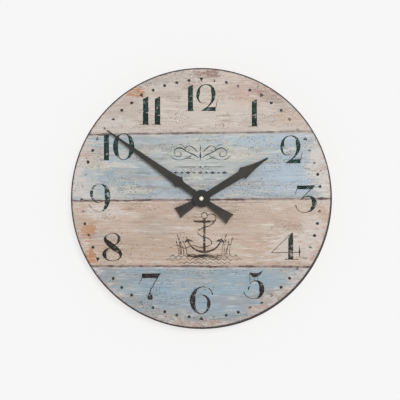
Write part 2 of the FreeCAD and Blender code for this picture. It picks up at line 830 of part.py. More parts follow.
# Rotor: a magnet ring on a moulded pinion with long thin pivots

rotor_pinion = piece("rotor_pinion", "rotor_x", "rotor_y")
arbor(rotor_pinion, train_pivot, train_shoulder, middle_shoulder, middle_pivot)
pad(rotor_pinion, "magnet_rear", "magnet_front", circle("magnet_seat_radius"))
pad(rotor_pinion, "magnet_front", "fifth_rear + wheel_thickness + tooth_overhang",
    teeth("rotor_teeth", "fifth_module", 0))
magnet = piece("rotor_magnet", "rotor_x", "rotor_y")
pad(magnet, "magnet_rear", "magnet_front", circle("magnet_radius"), circle("magnet_seat_radius"))

# Fifth wheel and its pinion

fifth_wheel = piece("fifth_wheel", "fifth_x", "fifth_y")
fifth_front = "fifth_rear + wheel_thickness"
seconds_front = "seconds_rear + wheel_thickness"
arbor(fifth_wheel, train_pivot, train_shoulder, middle_shoulder, middle_pivot)
pad(fifth_wheel, "fifth_rear", fifth_front, teeth("fifth_teeth", "fifth_module", fifth_phase))
pad(fifth_wheel, fifth_front, f"{seconds_front} + tooth_overhang",
    teeth("fifth_pinion_teeth", "seconds_module", 0))
web_holes(fifth_wheel, "fifth_rear", fifth_front, "fifth_module", "fifth_teeth", "fifth_web_holes")

# Seconds wheel: turns once a minute on the hands' axis, its front pivot inside the minute arbor

seconds_wheel = piece("seconds_wheel")
third_front = "third_rear + wheel_thickness"
turned(seconds_wheel, [
    ("0", train_pivot),
    ("pivot_radius", train_pivot),
    ("pivot_radius", train_shoulder),
    ("arbor_radius", train_shoulder),
    ("arbor_radius", third_front),
    ("centre_pivot_radius", third_front),
    ("centre_pivot_radius", "middle_plate_rear + centre_pivot_depth"),
    ("0", "middle_plate_rear + centre_pivot_depth")])
pad(seconds_wheel, "seconds_rear", seconds_front,
    teeth("seconds_teeth", "seconds_module", seconds_phase))
pad(seconds_wheel, seconds_front, f"{third_front} + tooth_overhang",
    teeth("seconds_pinion_teeth", "third_module", 0))
web_holes(seconds_wheel, "seconds_rear", seconds_front,
          "seconds_module", "seconds_teeth", "seconds_web_holes")

# Third wheel: its pinion passes through the middle plate to drive the centre wheel

third_wheel = piece("third_wheel", "third_x", "third_y")
centre_front = "centre_rear + wheel_thickness"
arbor(third_wheel, train_pivot, train_shoulder, "boss_rear - end_shake",
      "arbor_front - end_shake / 2")
pad(third_wheel, "third_rear", third_front, teeth("third_teeth", "third_module", third_phase))
pad(third_wheel, third_front, f"{centre_front} + tooth_overhang",
    teeth("third_pinion_teeth", "centre_module", 0))
web_holes(third_wheel, "third_rear", third_front, "third_module", "third_teeth", "third_web_holes")

# Centre wheel: turns once an hour, and slips on the minute arbor when the hands are set

centre_wheel = piece("centre_wheel")
pad(centre_wheel, "centre_rear", centre_front,
    teeth("centre_teeth", "centre_module", centre_phase))
pocket(centre_wheel, "centre_rear", centre_front, circle("journal_radius + running_fit"))
web_holes(centre_wheel, "centre_rear", centre_front, "centre_module", "centre_teeth", "centre_web_holes")

# Clutch spring: a star washer on the minute arbor whose three arms press on the centre wheel

clutch_spring = piece("clutch_spring")
spring_base = "cannon_rear - spring_thickness"
pad(clutch_spring, spring_base, "cannon_rear", circle("spring_ring"))
pocket(clutch_spring, spring_base, "cannon_rear", circle("journal_radius"))
spring_arm = pad(clutch_spring, "-spring_arm / 2", "spring_arm / 2",
                 outline([("spring_ring - spring_thickness", spring_base),
                          ("spring_reach", f"{centre_front} + contact_gap"),
                          ("spring_reach", f"{centre_front} + contact_gap + spring_thickness"),
                          ("spring_ring - spring_thickness", "cannon_rear")]),
                 plane="XZ_Plane")
ring_of(clutch_spring, spring_arm, "spring_arms")

# Minute arbor: journal, cannon pinion, long pipe, flats for the hand and a threaded end

minute_arbor = piece("minute_arbor", turn=number("minute_hand_angle"))
turned(minute_arbor, [
    ("0", "middle_plate_rear + tooth_overhang"),
    ("journal_radius", "middle_plate_rear + tooth_overhang"),
    ("journal_radius", "cannon_rear"),
    ("minute_arbor_radius", "cannon_rear"),
    ("minute_arbor_radius", "minute_hand_front"),
    ("flats_half", "minute_hand_front"),
    ("flats_half", "arbor_thread_front"),
    ("0", "arbor_thread_front")])
pad(minute_arbor, "cannon_rear", "cannon_front",
    teeth("cannon_teeth", "motion_module", number("minute_hand_angle")))
pocket(minute_arbor, "middle_plate_rear + tooth_overhang",
       "middle_plate_rear + centre_pivot_depth + end_shake",
       circle("centre_pivot_radius + running_fit"))
pocket(minute_arbor, "minute_hand_rear", "minute_hand_front",
       rectangle("flats_half", "-minute_arbor_radius", "collet_radius", "minute_arbor_radius"),
       rectangle("-collet_radius", "-minute_arbor_radius", "-flats_half", "minute_arbor_radius"))

# Motion wheel: turns on a stud of the case and drives the hour wheel with its pinion

motion_wheel = piece("motion_wheel", "motion_x", "motion_y")
motion_front = "motion_rear + wheel_thickness"
pad(motion_wheel, "motion_rear", motion_front,
    teeth("motion_teeth", "motion_module", motion_phase))
pad(motion_wheel, motion_front, "hour_front + tooth_overhang",
    teeth("motion_pinion_teeth", "hour_module", 0))
pocket(motion_wheel, "motion_rear", "hour_front + tooth_overhang",
       circle("stud_radius + running_fit"))

# Hour wheel and its pipe, which runs inside the bush and carries the hour hand

hour_wheel = piece("hour_wheel")
pad(hour_wheel, "hour_rear", "hour_front", teeth("hour_teeth", "hour_module", hour_phase))
pad(hour_wheel, "hour_front", "hour_pipe_front", circle("hour_pipe_radius"))
pocket(hour_wheel, "hour_rear", "hour_pipe_front", circle("minute_arbor_radius + running_fit"))

# Hour hand with its pressed collet


def hand_shape(side, tip, tail):
    """The full outline of a hand from its right side, with a round tip and hollow tail."""
    path = [side[0] + ("0", tip)] + side[1:]
    path.append((f"-({side[-1][0]})", side[-1][1], "0", tail))
    for index in range(len(side) - 1, 0, -1):
        x, y = side[index - 1][:2]
        via = [f"-({side[index][2]})", side[index][3]] if len(side[index]) > 2 else []
        path.append((f"-({x})", y, *via))
    return outline(path)


def bowed(start, end, share):
    """The end of an arc from start to end that bows towards the smaller half width."""
    low, high = sorted((start[0], end[0]), key=number)
    return end + (f"{low} + ({high} - {low}) * {share}", f"({start[1]} + {end[1]}) / 2")


hour_tip = ("hour_tip_half", "hour_length - hour_tip_half")
hour_barb = ("hour_barb_half", "hour_barb")
hour_foot = ("hour_shaft_half", "hour_barb_foot")
hour_root = ("hour_tail_root", "-hand_disc_radius")
hour_end = ("hour_tail_half", "-hour_tail")
hour_hand = piece("hour_hand", turn=number("hour_hand_angle"))
pad(hour_hand, "hour_hand_rear", "hour_hand_front",
    hand_shape([hour_tip,
                bowed(hour_tip, hour_barb, "head_curve_share"),
                bowed(hour_barb, hour_foot, "shoulder_curve_share"),
                ("hour_neck_half", "0"),
                hour_root,
                bowed(hour_root, hour_end, "tail_curve_share")],
               "hour_length", "tail_hollow - hour_tail"))
pad(hour_hand, "hour_hand_rear", "hour_hand_front", circle("hand_disc_radius"))
pocket(hour_hand, "hour_hand_rear", "hour_hand_front", circle("collet_radius"))

collet = piece("hour_hand_collet")
turned(collet, [
    ("hour_pipe_radius", "collet_rear"),
    ("collet_flange_radius", "collet_rear"),
    ("collet_flange_radius", "hour_hand_rear"),
    ("collet_radius", "hour_hand_rear"),
    ("collet_radius", "hour_hand_front + collet_rivet"),
    ("hour_pipe_radius", "hour_hand_front + collet_rivet")])

# Minute hand: its hole has two flats that key it to the arbor

minute_tip = ("minute_tip_half", "minute_length - minute_tip_half")
minute_blade = ("minute_blade_half", "minute_blade_start")
minute_barb = ("minute_barb_half", "minute_barb")
minute_foot = ("minute_neck_half", "minute_barb_foot")
minute_root = ("minute_tail_root", "-hand_disc_radius")
minute_end = ("minute_tail_half", "-minute_tail")
flat_half = "sqrt(minute_arbor_radius^2 - flats_half^2)"
minute_hand = piece("minute_hand", turn=number("minute_hand_angle"))
pad(minute_hand, "minute_hand_rear", "minute_hand_front",
    hand_shape([minute_tip,
                minute_blade,
                bowed(minute_blade, minute_barb, "head_curve_share"),
                bowed(minute_barb, minute_foot, "shoulder_curve_share"),
                ("minute_neck_half", "0"),
                minute_root,
                bowed(minute_root, minute_end, "tail_curve_share")],
               "minute_length", "tail_hollow - minute_tail"))
pad(minute_hand, "minute_hand_rear", "minute_hand_front", circle("hand_disc_radius"))
pocket(minute_hand, "minute_hand_rear", "minute_hand_front",
       outline([("flats_half", f"-{flat_half}", "0", "-minute_arbor_radius"),
                ("flats_half", flat_half),
                ("-flats_half", flat_half, "0", "minute_arbor_radius"),
                ("-flats_half", f"-{flat_half}")]))

# Cap nut: the bright domed nut that holds the minute hand

cap_nut = piece("cap_nut")
turned(cap_nut, [
    ("0", "arbor_thread_front"),
    ("flats_half", "arbor_thread_front"),
    ("flats_half", "minute_hand_front"),
    ("cap_radius", "minute_hand_front"),
    ("cap_radius", "minute_hand_front + cap_skirt"),
    crown("cap_radius", "minute_hand_front + cap_skirt", "cap_front")])

# Hanger: a bent steel strip clamped behind the dial, with a round hole for the wall hook

hanger = piece("hanger")
hanger_outer = "hanger_bend + hanger_thickness"
riser_back = "hanger_riser + hanger_thickness"
strip = pad(hanger, "-hanger_width / 2", "hanger_width / 2",
            rounded([("-hanger_drop", "case_depth"),
                     ("hanger_riser", "case_depth", "hanger_bend"),
                     ("hanger_riser", "tab_standoff", hanger_outer),
                     ("hanger_top", "tab_standoff"),
                     ("hanger_top", "tab_front"),
                     (riser_back, "tab_front", "hanger_bend"),
                     (riser_back, "hanger_front", hanger_outer),
                     ("-hanger_drop", "hanger_front")]),
            plane="YZ_Plane")
tab_edges = [f"Edge{index + 1}" for index, edge in enumerate(hanger.Shape.Edges)
             if lies_at(edge.BoundBox.ZMin, "hanger_top")
             and edge.BoundBox.XLength < number("hanger_thickness")
             and edge.BoundBox.YLength > number("hanger_thickness") / 2]
tab_round = hanger.newObject("PartDesign::Fillet", "TabRound")
tab_round.Base = (strip, tab_edges)
tab_round.setExpression("Radius", formula("tab_corner"))
doc.recompute()
pocket(hanger, "case_depth", "hanger_front", circle(board_hole))
pocket(hanger, "tab_standoff", "tab_front", circle("nail_hole_radius", "0", "nail_y"))

# Rubber gasket, brass washer and hexagonal nut that clamp the dial on the bush

gasket = piece("gasket_washer")
pad(gasket, "hanger_front", "board_rear", circle("gasket_radius"), circle(board_hole))

washer = piece("flat_washer")
pad(washer, "print_front", "washer_front", circle("washer_radius"), circle(board_hole))

nut = piece("fixing_nut")
nut_corner = "nut_flats / 2 / cos(30)"
pad(nut, "washer_front", "nut_front",
    outline([(f"{nut_corner} * cos({angle})", f"{nut_corner} * sin({angle})")
             for angle in range(0, 360, 60)]),
    circle("thread_radius"))

# Stator: the soft iron plate round the rotor, with a foot at each end of the coil

stator = piece("stator")
pad(stator, "stator_rear", "stator_front", circle("stator_reach", "rotor_x", "rotor_y"))
pad(stator, "stator_rear", "stator_front", *[circle("stator_foot", x, y) for x, y in feet])
stator_shoulder = "rotor_y + stator_reach"
for foot, inner, outer in (("coil_left", "+", "-"), ("coil_right", "-", "+")):
    pad(stator, "stator_rear", "stator_front",
        outline([(f"{foot} {outer} stator_foot", "coil_y"),
                 (f"{foot} {outer} stator_foot", f"{stator_shoulder} - stator_foot"),
                 (f"rotor_x {outer} stator_reach", "rotor_y"),
                 ("rotor_x", stator_shoulder),
                 (f"{foot} {inner} stator_foot", stator_shoulder),
                 (f"{foot} {inner} stator_foot", "coil_y")]))
pocket(stator, "stator_rear", "stator_front",
       circle("stator_hole", "rotor_x", "rotor_y"),
       *[circle("screw_radius + pin_fit", x, y) for x, y in feet])

# Coil core, bobbin and winding

core = piece("coil_core")
pad(core, "stator_front", "core_front",
    rectangle("coil_left - stator_foot", "coil_y - core_width / 2",
              "coil_right + stator_foot", "coil_y + core_width / 2"))
pocket(core, "stator_front", "core_front",
       *[circle("screw_radius + pin_fit", x, y) for x, y in feet])


def coil_section(half_width, half_depth, *radius):
    """A rectangle round the coil's axis, in the plane across it."""
    return rectangle(f"coil_y - ({half_width})", f"core_depth - ({half_depth})",
                     f"coil_y + ({half_width})", f"core_depth + ({half_depth})", *radius)


bobbin = piece("coil_bobbin")
tube_width, tube_depth = "core_width / 2 + bobbin_wall", "core_thickness / 2 + bobbin_wall"
pad(bobbin, "bobbin_left", "bobbin_right", coil_section(tube_width, tube_depth), plane="YZ_Plane")
for start in ("bobbin_left", "bobbin_right - bobbin_wall"):
    pad(bobbin, start, f"{start} + bobbin_wall",
        coil_section("bobbin_half", "bobbin_half", "bobbin_wall"), plane="YZ_Plane")
pocket(bobbin, "bobbin_left", "bobbin_right",
       coil_section("core_width / 2 + pin_fit", "core_thickness / 2 + pin_fit"), plane="YZ_Plane")

winding = piece("coil_winding")
winding_half = "bobbin_half - winding_inset"
pad(winding, "bobbin_left + bobbin_wall", "bobbin_right - bobbin_wall",
    coil_section(winding_half, winding_half, "bobbin_wall"),
    coil_section(tube_width, tube_depth), plane="YZ_Plane")

# Stator screws: two alike, through the stator and core into the case's posts

screws = []
for x, y in feet:
    screw = piece("stator_screw", x, y)
    turned(screw, [
        ("0", "stator_rear - screw_head"),
        ("screw_head_radius", "stator_rear - screw_head"),
        ("screw_head_radius", "stator_rear"),
        ("screw_radius", "stator_rear"),
        ("screw_radius", "core_front + screw_bite - pin_standout"),
        ("0", "core_front + screw_bite - pin_standout")])
    pieces.remove(screw)
    screws.append(screw)
screw_pair = doc.addObject("Part::Compound", "stator_screws")
screw_pair.Label = "stator_screws"
screw_pair.Links = screws
pieces.append(screw_pair)

# Circuit board with its quartz crystal and sealed chip

circuit_board = piece("circuit_board")
pad(circuit_board, "pcb_rear", "pcb_front",
    rectangle("pcb_left", "pcb_low", "pcb_right", "pcb_high", "inner_corner"),
    *[circle("board_pin_radius + pin_fit", x, y) for x, y in posts])

crystal = piece("quartz_crystal")
crystal_left = "pcb_right - tab_reach - crystal_length - board_side_room"
pad(crystal, crystal_left, f"{crystal_left} + crystal_length",
    circle("crystal_radius", "pcb_low + crystal_radius + board_side_room",
           "pcb_rear - crystal_radius"),
    plane="YZ_Plane")

blob = piece("chip_blob", "(pcb_left + pcb_right - blob_radius) / 2",
             "pcb_middle + board_side_room")
turned(blob, [
    ("0", "pcb_rear"),
    ("blob_radius", "pcb_rear"),
    crown("blob_radius", "pcb_rear", "pcb_rear - blob_height")])

# Battery contacts: bent spring strips from the bay to the circuit board

negative = piece("negative_contact")
leaf_low, leaf_high = "cell_y - leaf_half", "cell_y + leaf_half"
tab_low, tab_high = "pcb_middle - tab_width / 2", "pcb_middle + tab_width / 2"
pad(negative, "strip_rear", "strip_front",
    outline([("-inner_half_width", tab_high),
             ("-inner_half_width", leaf_high),
             ("-inner_half_width", leaf_low,
              "negative_bulge - inner_half_width - strip_thickness", "cell_y"),
             ("-strip_face", leaf_low),
             ("-strip_face", leaf_high, "negative_bulge - inner_half_width", "cell_y"),
             ("-strip_face", tab_high)]))
pad(negative, "pcb_rear - strip_thickness", "pcb_rear",
    rectangle("-inner_half_width", tab_low, "tab_reach - inner_half_width", tab_high))

positive = piece("positive_contact")
corner_inside = "inner_corner - strip_thickness"
tab_right = "pcb_right - board_side_room"
round_start = "inner_half_height - inner_corner"
bend = "inner_corner * (1 - cos(45))"
tight_bend = "(inner_corner - strip_thickness) * (1 - cos(45))"
pad(positive, "strip_rear", "strip_front",
    outline([("inner_half_width", leaf_low),
             ("inner_half_width", leaf_high,
              "inner_half_width - positive_bulge + strip_thickness", "cell_y"),
             ("inner_half_width", round_start),
             ("inner_half_width - inner_corner", "inner_half_height",
              f"inner_half_width - {bend}", f"inner_half_height - {bend}"),
             (f"{tab_right} - tab_width", "inner_half_height"),
             (f"{tab_right} - tab_width", "strip_top"),
             ("inner_half_width - inner_corner", "strip_top"),
             ("strip_face", round_start,
              f"strip_face - {tight_bend}", f"strip_top - {tight_bend}"),
             ("strip_face", leaf_high),
             ("strip_face", leaf_low, "inner_half_width - positive_bulge", "cell_y")]))
pad(positive, "pcb_rear - strip_thickness", "pcb_rear",
    rectangle(f"{tab_right} - tab_width", "pcb_high - tab_reach", tab_right, "inner_half_height"))

# AA cell: a steel can with its button, and the printed jacket round it


def laid_across(body):
    """Lay a turned piece along x in the battery bay."""
    body.Placement.Rotation = FreeCAD.Rotation(Vector(0, 1, 0), 90)
    body.setExpression("Placement.Base.y", formula("-cell_depth"))
    doc.recompute()


can = piece("cell_can", "cell_start", "cell_y")
laid_across(can)
can_radius = "cell_diameter / 2 - jacket_thickness"
can_end = "cell_length - button_height"
turned(can, [
    ("0", "0"),
    (can_radius, "0"),
    (can_radius, can_end),
    ("button_diameter / 2", can_end),
    ("button_diameter / 2", "cell_length"),
    ("0", "cell_length")])

jacket = piece("cell_jacket", "cell_start", "cell_y")
laid_across(jacket)
turned(jacket, [
    (can_radius, "jacket_inset"),
    ("cell_diameter / 2", "jacket_inset"),
    ("cell_diameter / 2", f"{can_end} - jacket_inset"),
    (can_radius, f"{can_end} - jacket_inset")])

# Check everything, then write each piece to its own file

doc.recompute()
for item in doc.Objects:
    if {"Invalid", "Error"} & set(item.State):
        raise RuntimeError(f"{item.Label} has failed")
os.makedirs("parts", exist_ok=True)
for item in pieces:
    if item.Shape.isNull() or not item.Shape.isValid():
        raise RuntimeError(f"{item.Label} has no valid shape")
    item.Shape.exportStep(f"parts/{item.Label}.step")
    print(item.Label, len(item.Shape.Solids), round(item.Shape.Volume, 3))
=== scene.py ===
import math
import random

import bpy
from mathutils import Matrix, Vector


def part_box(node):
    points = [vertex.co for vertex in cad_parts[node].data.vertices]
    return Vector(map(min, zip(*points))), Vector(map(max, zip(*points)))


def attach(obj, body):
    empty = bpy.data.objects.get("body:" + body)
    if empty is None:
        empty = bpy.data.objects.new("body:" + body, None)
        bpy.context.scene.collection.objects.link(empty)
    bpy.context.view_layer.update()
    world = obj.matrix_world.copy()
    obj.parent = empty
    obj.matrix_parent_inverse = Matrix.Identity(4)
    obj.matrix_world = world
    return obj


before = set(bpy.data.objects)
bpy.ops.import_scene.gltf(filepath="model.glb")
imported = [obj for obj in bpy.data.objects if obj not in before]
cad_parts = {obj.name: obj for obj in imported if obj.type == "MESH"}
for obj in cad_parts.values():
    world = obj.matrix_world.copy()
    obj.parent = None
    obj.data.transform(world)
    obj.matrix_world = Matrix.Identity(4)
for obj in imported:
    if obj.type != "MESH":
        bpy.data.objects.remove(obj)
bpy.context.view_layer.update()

# Studio: a pale wall that the clock hangs on, a floor far below it, and even soft light.
# The wall can be looked through from behind, so that the back of the clock can be seen.

MM = 0.001
WHITE = (1.0, 1.0, 1.0, 1.0)
BACKGROUND = (0.922, 0.922, 0.922, 1.0)
WALL_GLOW = (0.948, 0.948, 0.948, 1.0)
WALL_WIDTH = 4.8
WALL_STANDOFF = 0.0005
WALL_SHADOW = 0.30
FLOOR_WIDTH = 19.2
FLOOR_DROP = 1.7
FLOOR_SHADOW = 0.06
WORLD_LIGHT = 0.49
SUN_SPREAD = 22.0

# Suns in front and behind: strength, place and the way they shine
SUNS = (
    (1.58, (0.8, -1.5, 1.2), (-0.24, 1.0, -0.30)),
    (1.4, (-0.8, 1.5, 1.2), (0.3, -1.0, -0.6)))

# Camera: the width it sees at the dial's face, and its place across and up from the hands' axis
SEEN_WIDTH = 0.5512
LENS = 85.0
SENSOR = 36.0
CAMERA_X = -0.0020
CAMERA_Z = -0.0021

scene = bpy.context.scene
scene.view_settings.view_transform = "Standard"

world = bpy.data.worlds.new("studio")
world.use_nodes = True
scene.world = world
world_nodes = world.node_tree.nodes
sky = world_nodes["Background"]
sky.inputs["Color"].default_value = WHITE
sky.inputs["Strength"].default_value = WORLD_LIGHT
shown_sky = world_nodes.new("ShaderNodeBackground")
shown_sky.inputs["Color"].default_value = BACKGROUND
rays = world_nodes.new("ShaderNodeLightPath")
seen = world_nodes.new("ShaderNodeMath")
seen.operation = "MAXIMUM"
seen_through = world_nodes.new("ShaderNodeMath")
seen_through.operation = "MAXIMUM"
sky_mix = world_nodes.new("ShaderNodeMixShader")
world_links = world.node_tree.links
world_links.new(rays.outputs["Is Camera Ray"], seen.inputs[0])
world_links.new(rays.outputs["Is Glossy Ray"], seen.inputs[1])
world_links.new(seen.outputs[0], seen_through.inputs[0])
world_links.new(rays.outputs["Is Transmission Ray"], seen_through.inputs[1])
world_links.new(seen_through.outputs[0], sky_mix.inputs[0])
world_links.new(sky.outputs[0], sky_mix.inputs[1])
world_links.new(shown_sky.outputs[0], sky_mix.inputs[2])
world_links.new(sky_mix.outputs[0], world_nodes["World Output"].inputs["Surface"])


def pale_surface(name, shadow_share):
    """A pale matt surface that only the camera sees, and only from its front.

    It glows evenly, and takes shadows by the share given.
    """
    pale = bpy.data.materials.new(name)
    pale.use_nodes = True
    nodes = pale.node_tree.nodes
    links = pale.node_tree.links
    chalk = nodes["Principled BSDF"]
    chalk.inputs["Base Color"].default_value = BACKGROUND
    chalk.inputs["Roughness"].default_value = 0.9
    chalk.inputs["Specular IOR Level"].default_value = 0.0
    even_light = nodes.new("ShaderNodeEmission")
    even_light.inputs["Color"].default_value = WALL_GLOW
    shaded = nodes.new("ShaderNodeMixShader")
    shaded.inputs[0].default_value = shadow_share
    clear = nodes.new("ShaderNodeBsdfTransparent")
    rays = nodes.new("ShaderNodeLightPath")
    facing = nodes.new("ShaderNodeNewGeometry")
    front = nodes.new("ShaderNodeMath")
    front.operation = "SUBTRACT"
    seen = nodes.new("ShaderNodeMixShader")
    links.new(even_light.outputs[0], shaded.inputs[1])
    links.new(chalk.outputs[0], shaded.inputs[2])
    links.new(rays.outputs["Is Camera Ray"], front.inputs[0])
    links.new(facing.outputs["Backfacing"], front.inputs[1])
    links.new(front.outputs[0], seen.inputs[0])
    links.new(clear.outputs[0], seen.inputs[1])
    links.new(shaded.outputs[0], seen.inputs[2])
    links.new(seen.outputs[0], nodes["Material Output"].inputs["Surface"])
    return pale


bpy.ops.object.select_all(action="DESELECT")
bpy.ops.mesh.primitive_plane_add(size=WALL_WIDTH, location=(0, WALL_STANDOFF, 0),
                                 rotation=(math.pi / 2, 0, 0))
wall = bpy.context.object
wall.name = "wall"
wall.data.materials.append(pale_surface("pale_wall", WALL_SHADOW))
bpy.ops.mesh.primitive_plane_add(size=FLOOR_WIDTH, location=(0, 0, -FLOOR_DROP))
floor = bpy.context.object
floor.name = "floor"
floor.data.materials.append(pale_surface("pale_floor", FLOOR_SHADOW))

for strength, place, aim in SUNS:
    bpy.ops.object.light_add(type="SUN", location=place)
    sun = bpy.context.object
    sun.data.energy = strength
    sun.data.angle = math.radians(SUN_SPREAD)
    sun.rotation_euler = Vector(aim).to_track_quat("-Z", "Y").to_euler()

bpy.ops.object.camera_add(rotation=(math.pi / 2, 0, 0))
camera = bpy.context.object
camera.data.lens = LENS
camera.data.sensor_width = SENSOR
dial_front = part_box("dial_print")[0].y
camera.location = (CAMERA_X, dial_front - SEEN_WIDTH * LENS / SENSOR, CAMERA_Z)
scene.camera = camera

# Dial print: a sheet printed with four painted and weathered planks, under a satin lacquer.
# The planks' seams, worn paint and rust marks are part of the print, and it is stuck on the
# board. Places on the dial are in millimetres from the hands' axis.


def srgb(red, green, blue):
    """A colour for a shader from the usual 0 to 255 values."""
    def linear(level):
        level /= 255
        return level / 12.92 if level <= 0.04045 else ((level + 0.055) / 1.055) ** 2.4
    return (linear(red), linear(green), linear(blue), 1.0)


class Finish:
    """A material whose nodes are added one by one."""

    def __init__(self, name, roughness=0.5, metallic=0.0, gloss=0.5):
        self.material = bpy.data.materials.new(name)
        self.material.use_nodes = True
        self.shader = self.material.node_tree.nodes["Principled BSDF"]
        self.shader.inputs["Roughness"].default_value = roughness
        self.shader.inputs["Metallic"].default_value = metallic
        self.shader.inputs["Specular IOR Level"].default_value = gloss

    def set(self, socket, value):
        """Give a socket a number, a colour or another node's output."""
        if isinstance(value, bpy.types.NodeSocket):
            self.material.node_tree.links.new(value, socket)
        else:
            socket.default_value = value

    def add(self, kind, *inputs, **settings):
        """Add a node, with values for its first sockets and its settings."""
        node = self.material.node_tree.nodes.new("ShaderNode" + kind)
        for name, value in settings.items():
            setattr(node, name, value)
        for socket, value in zip(node.inputs, inputs):
            if value is not None:
                self.set(socket, value)
        return node

    def place(self):
        """Where a point is on the object, in millimetres."""
        spot = self.add("TexCoord").outputs["Object"]
        scale = self.add("VectorMath", spot, operation="SCALE")
        self.set(scale.inputs["Scale"], 1 / MM)
        return scale.outputs["Vector"]

    def maths(self, operation, *values):
        """The result of a sum."""
        return self.add("Math", *values, operation=operation).outputs[0]

    def reach(self, place):
        """How far a place is from the hands' axis, in millimetres."""
        flat = self.add("VectorMath", place, (1, 0, 1), operation="MULTIPLY").outputs[0]
        return self.add("VectorMath", flat, operation="LENGTH").outputs["Value"]

    def stir(self, value, noise, spread):
        """A value moved up or down by noise, over a range of spread."""
        return self.maths("MULTIPLY_ADD", self.maths("SUBTRACT", noise, 0.5), spread, value)

    def noise(self, place, size, detail=3.0, rough=0.55, seed=0.0, twist=0.0):
        """Noise whose grains are about size millimetres along x, y and z."""
        turn = self.add("Mapping", place, vector_type="TEXTURE")
        turn.inputs["Scale"].default_value = size
        turn.inputs["Location"].default_value = (seed * 71.3, seed * 13.7, seed * 37.9)
        node = self.add("TexNoise", turn.outputs[0])
        node.inputs["Scale"].default_value = 1.0
        node.inputs["Detail"].default_value = detail
        node.inputs["Roughness"].default_value = rough
        node.inputs["Distortion"].default_value = twist
        return node.outputs["Fac"]

    def fade(self, value, start, end, low=0.0, high=1.0):
        """A smooth change from low to high while value goes from start to end."""
        node = self.add("MapRange", value, start, end, low, high)
        node.interpolation_type = "SMOOTHSTEP"
        return node.outputs["Result"]

    def mix(self, share, under, over, blend="MIX"):
        """One colour over another."""
        node = self.add("Mix", data_type="RGBA", blend_type=blend)
        self.set(node.inputs["Factor"], share)
        self.set(node.inputs[6], under)
        self.set(node.inputs[7], over)
        return node.outputs[2]

    def bump(self, height, strength, distance):
        """Raise the surface by a height."""
        node = self.add("Bump")
        node.inputs["Strength"].default_value = strength
        node.inputs["Distance"].default_value = distance * MM
        self.set(node.inputs["Height"], height)
        self.set(self.shader.inputs["Normal"], node.outputs[0])

    def colour(self, value):
        """Set the shader's colour."""
        self.set(self.shader.inputs["Base Color"], value)

    def roughness(self, value):
        """Set the shader's roughness."""
        self.set(self.shader.inputs["Roughness"], value)


# Each plank's paint: body, light streaks, dark streaks, second tint and broken dabs
PLANK_PAINTS = (
    (srgb(204, 192, 182), srgb(219, 210, 200), srgb(178, 161, 149), srgb(206, 188, 176),
     srgb(186, 171, 159)),
    (srgb(171, 181, 187), srgb(206, 207, 202), srgb(138, 145, 149), srgb(160, 172, 180),
     srgb(197, 193, 180)),
    (srgb(198, 181, 167), srgb(216, 204, 193), srgb(170, 146, 128), srgb(194, 168, 150),
     srgb(180, 161, 145)),
    (srgb(151, 166, 176), srgb(182, 191, 196), srgb(120, 130, 136), srgb(146, 169, 184),
     srgb(172, 173, 171)))

# Seams between planks: height in the middle, rise per millimetre, half width, line and edge
SEAMS = (
    (90.2, 0.0140, 1.2, srgb(94, 78, 76), srgb(172, 160, 152)),
    (-1.7, 0.0085, 1.2, srgb(80, 56, 52), srgb(168, 146, 138)),
    (-93.6, -0.0040, 1.3, srgb(78, 55, 54), srgb(172, 146, 136)))

# Tints of the weathering: primer showing, rust, old stains and thin glazes
CREAM = srgb(212, 204, 197)
PINK = srgb(189, 162, 149)
ROSE = srgb(198, 170, 152)
RUST = srgb(184, 126, 84)
BROWN = srgb(146, 112, 102)
UMBER = srgb(186, 163, 143)
STONE = srgb(168, 160, 154)
SMOKE = srgb(158, 152, 148)
SKY = srgb(174, 192, 207)
TEAL = srgb(150, 172, 182)
STRAW = srgb(203, 199, 184)
SLATE = srgb(143, 151, 154)

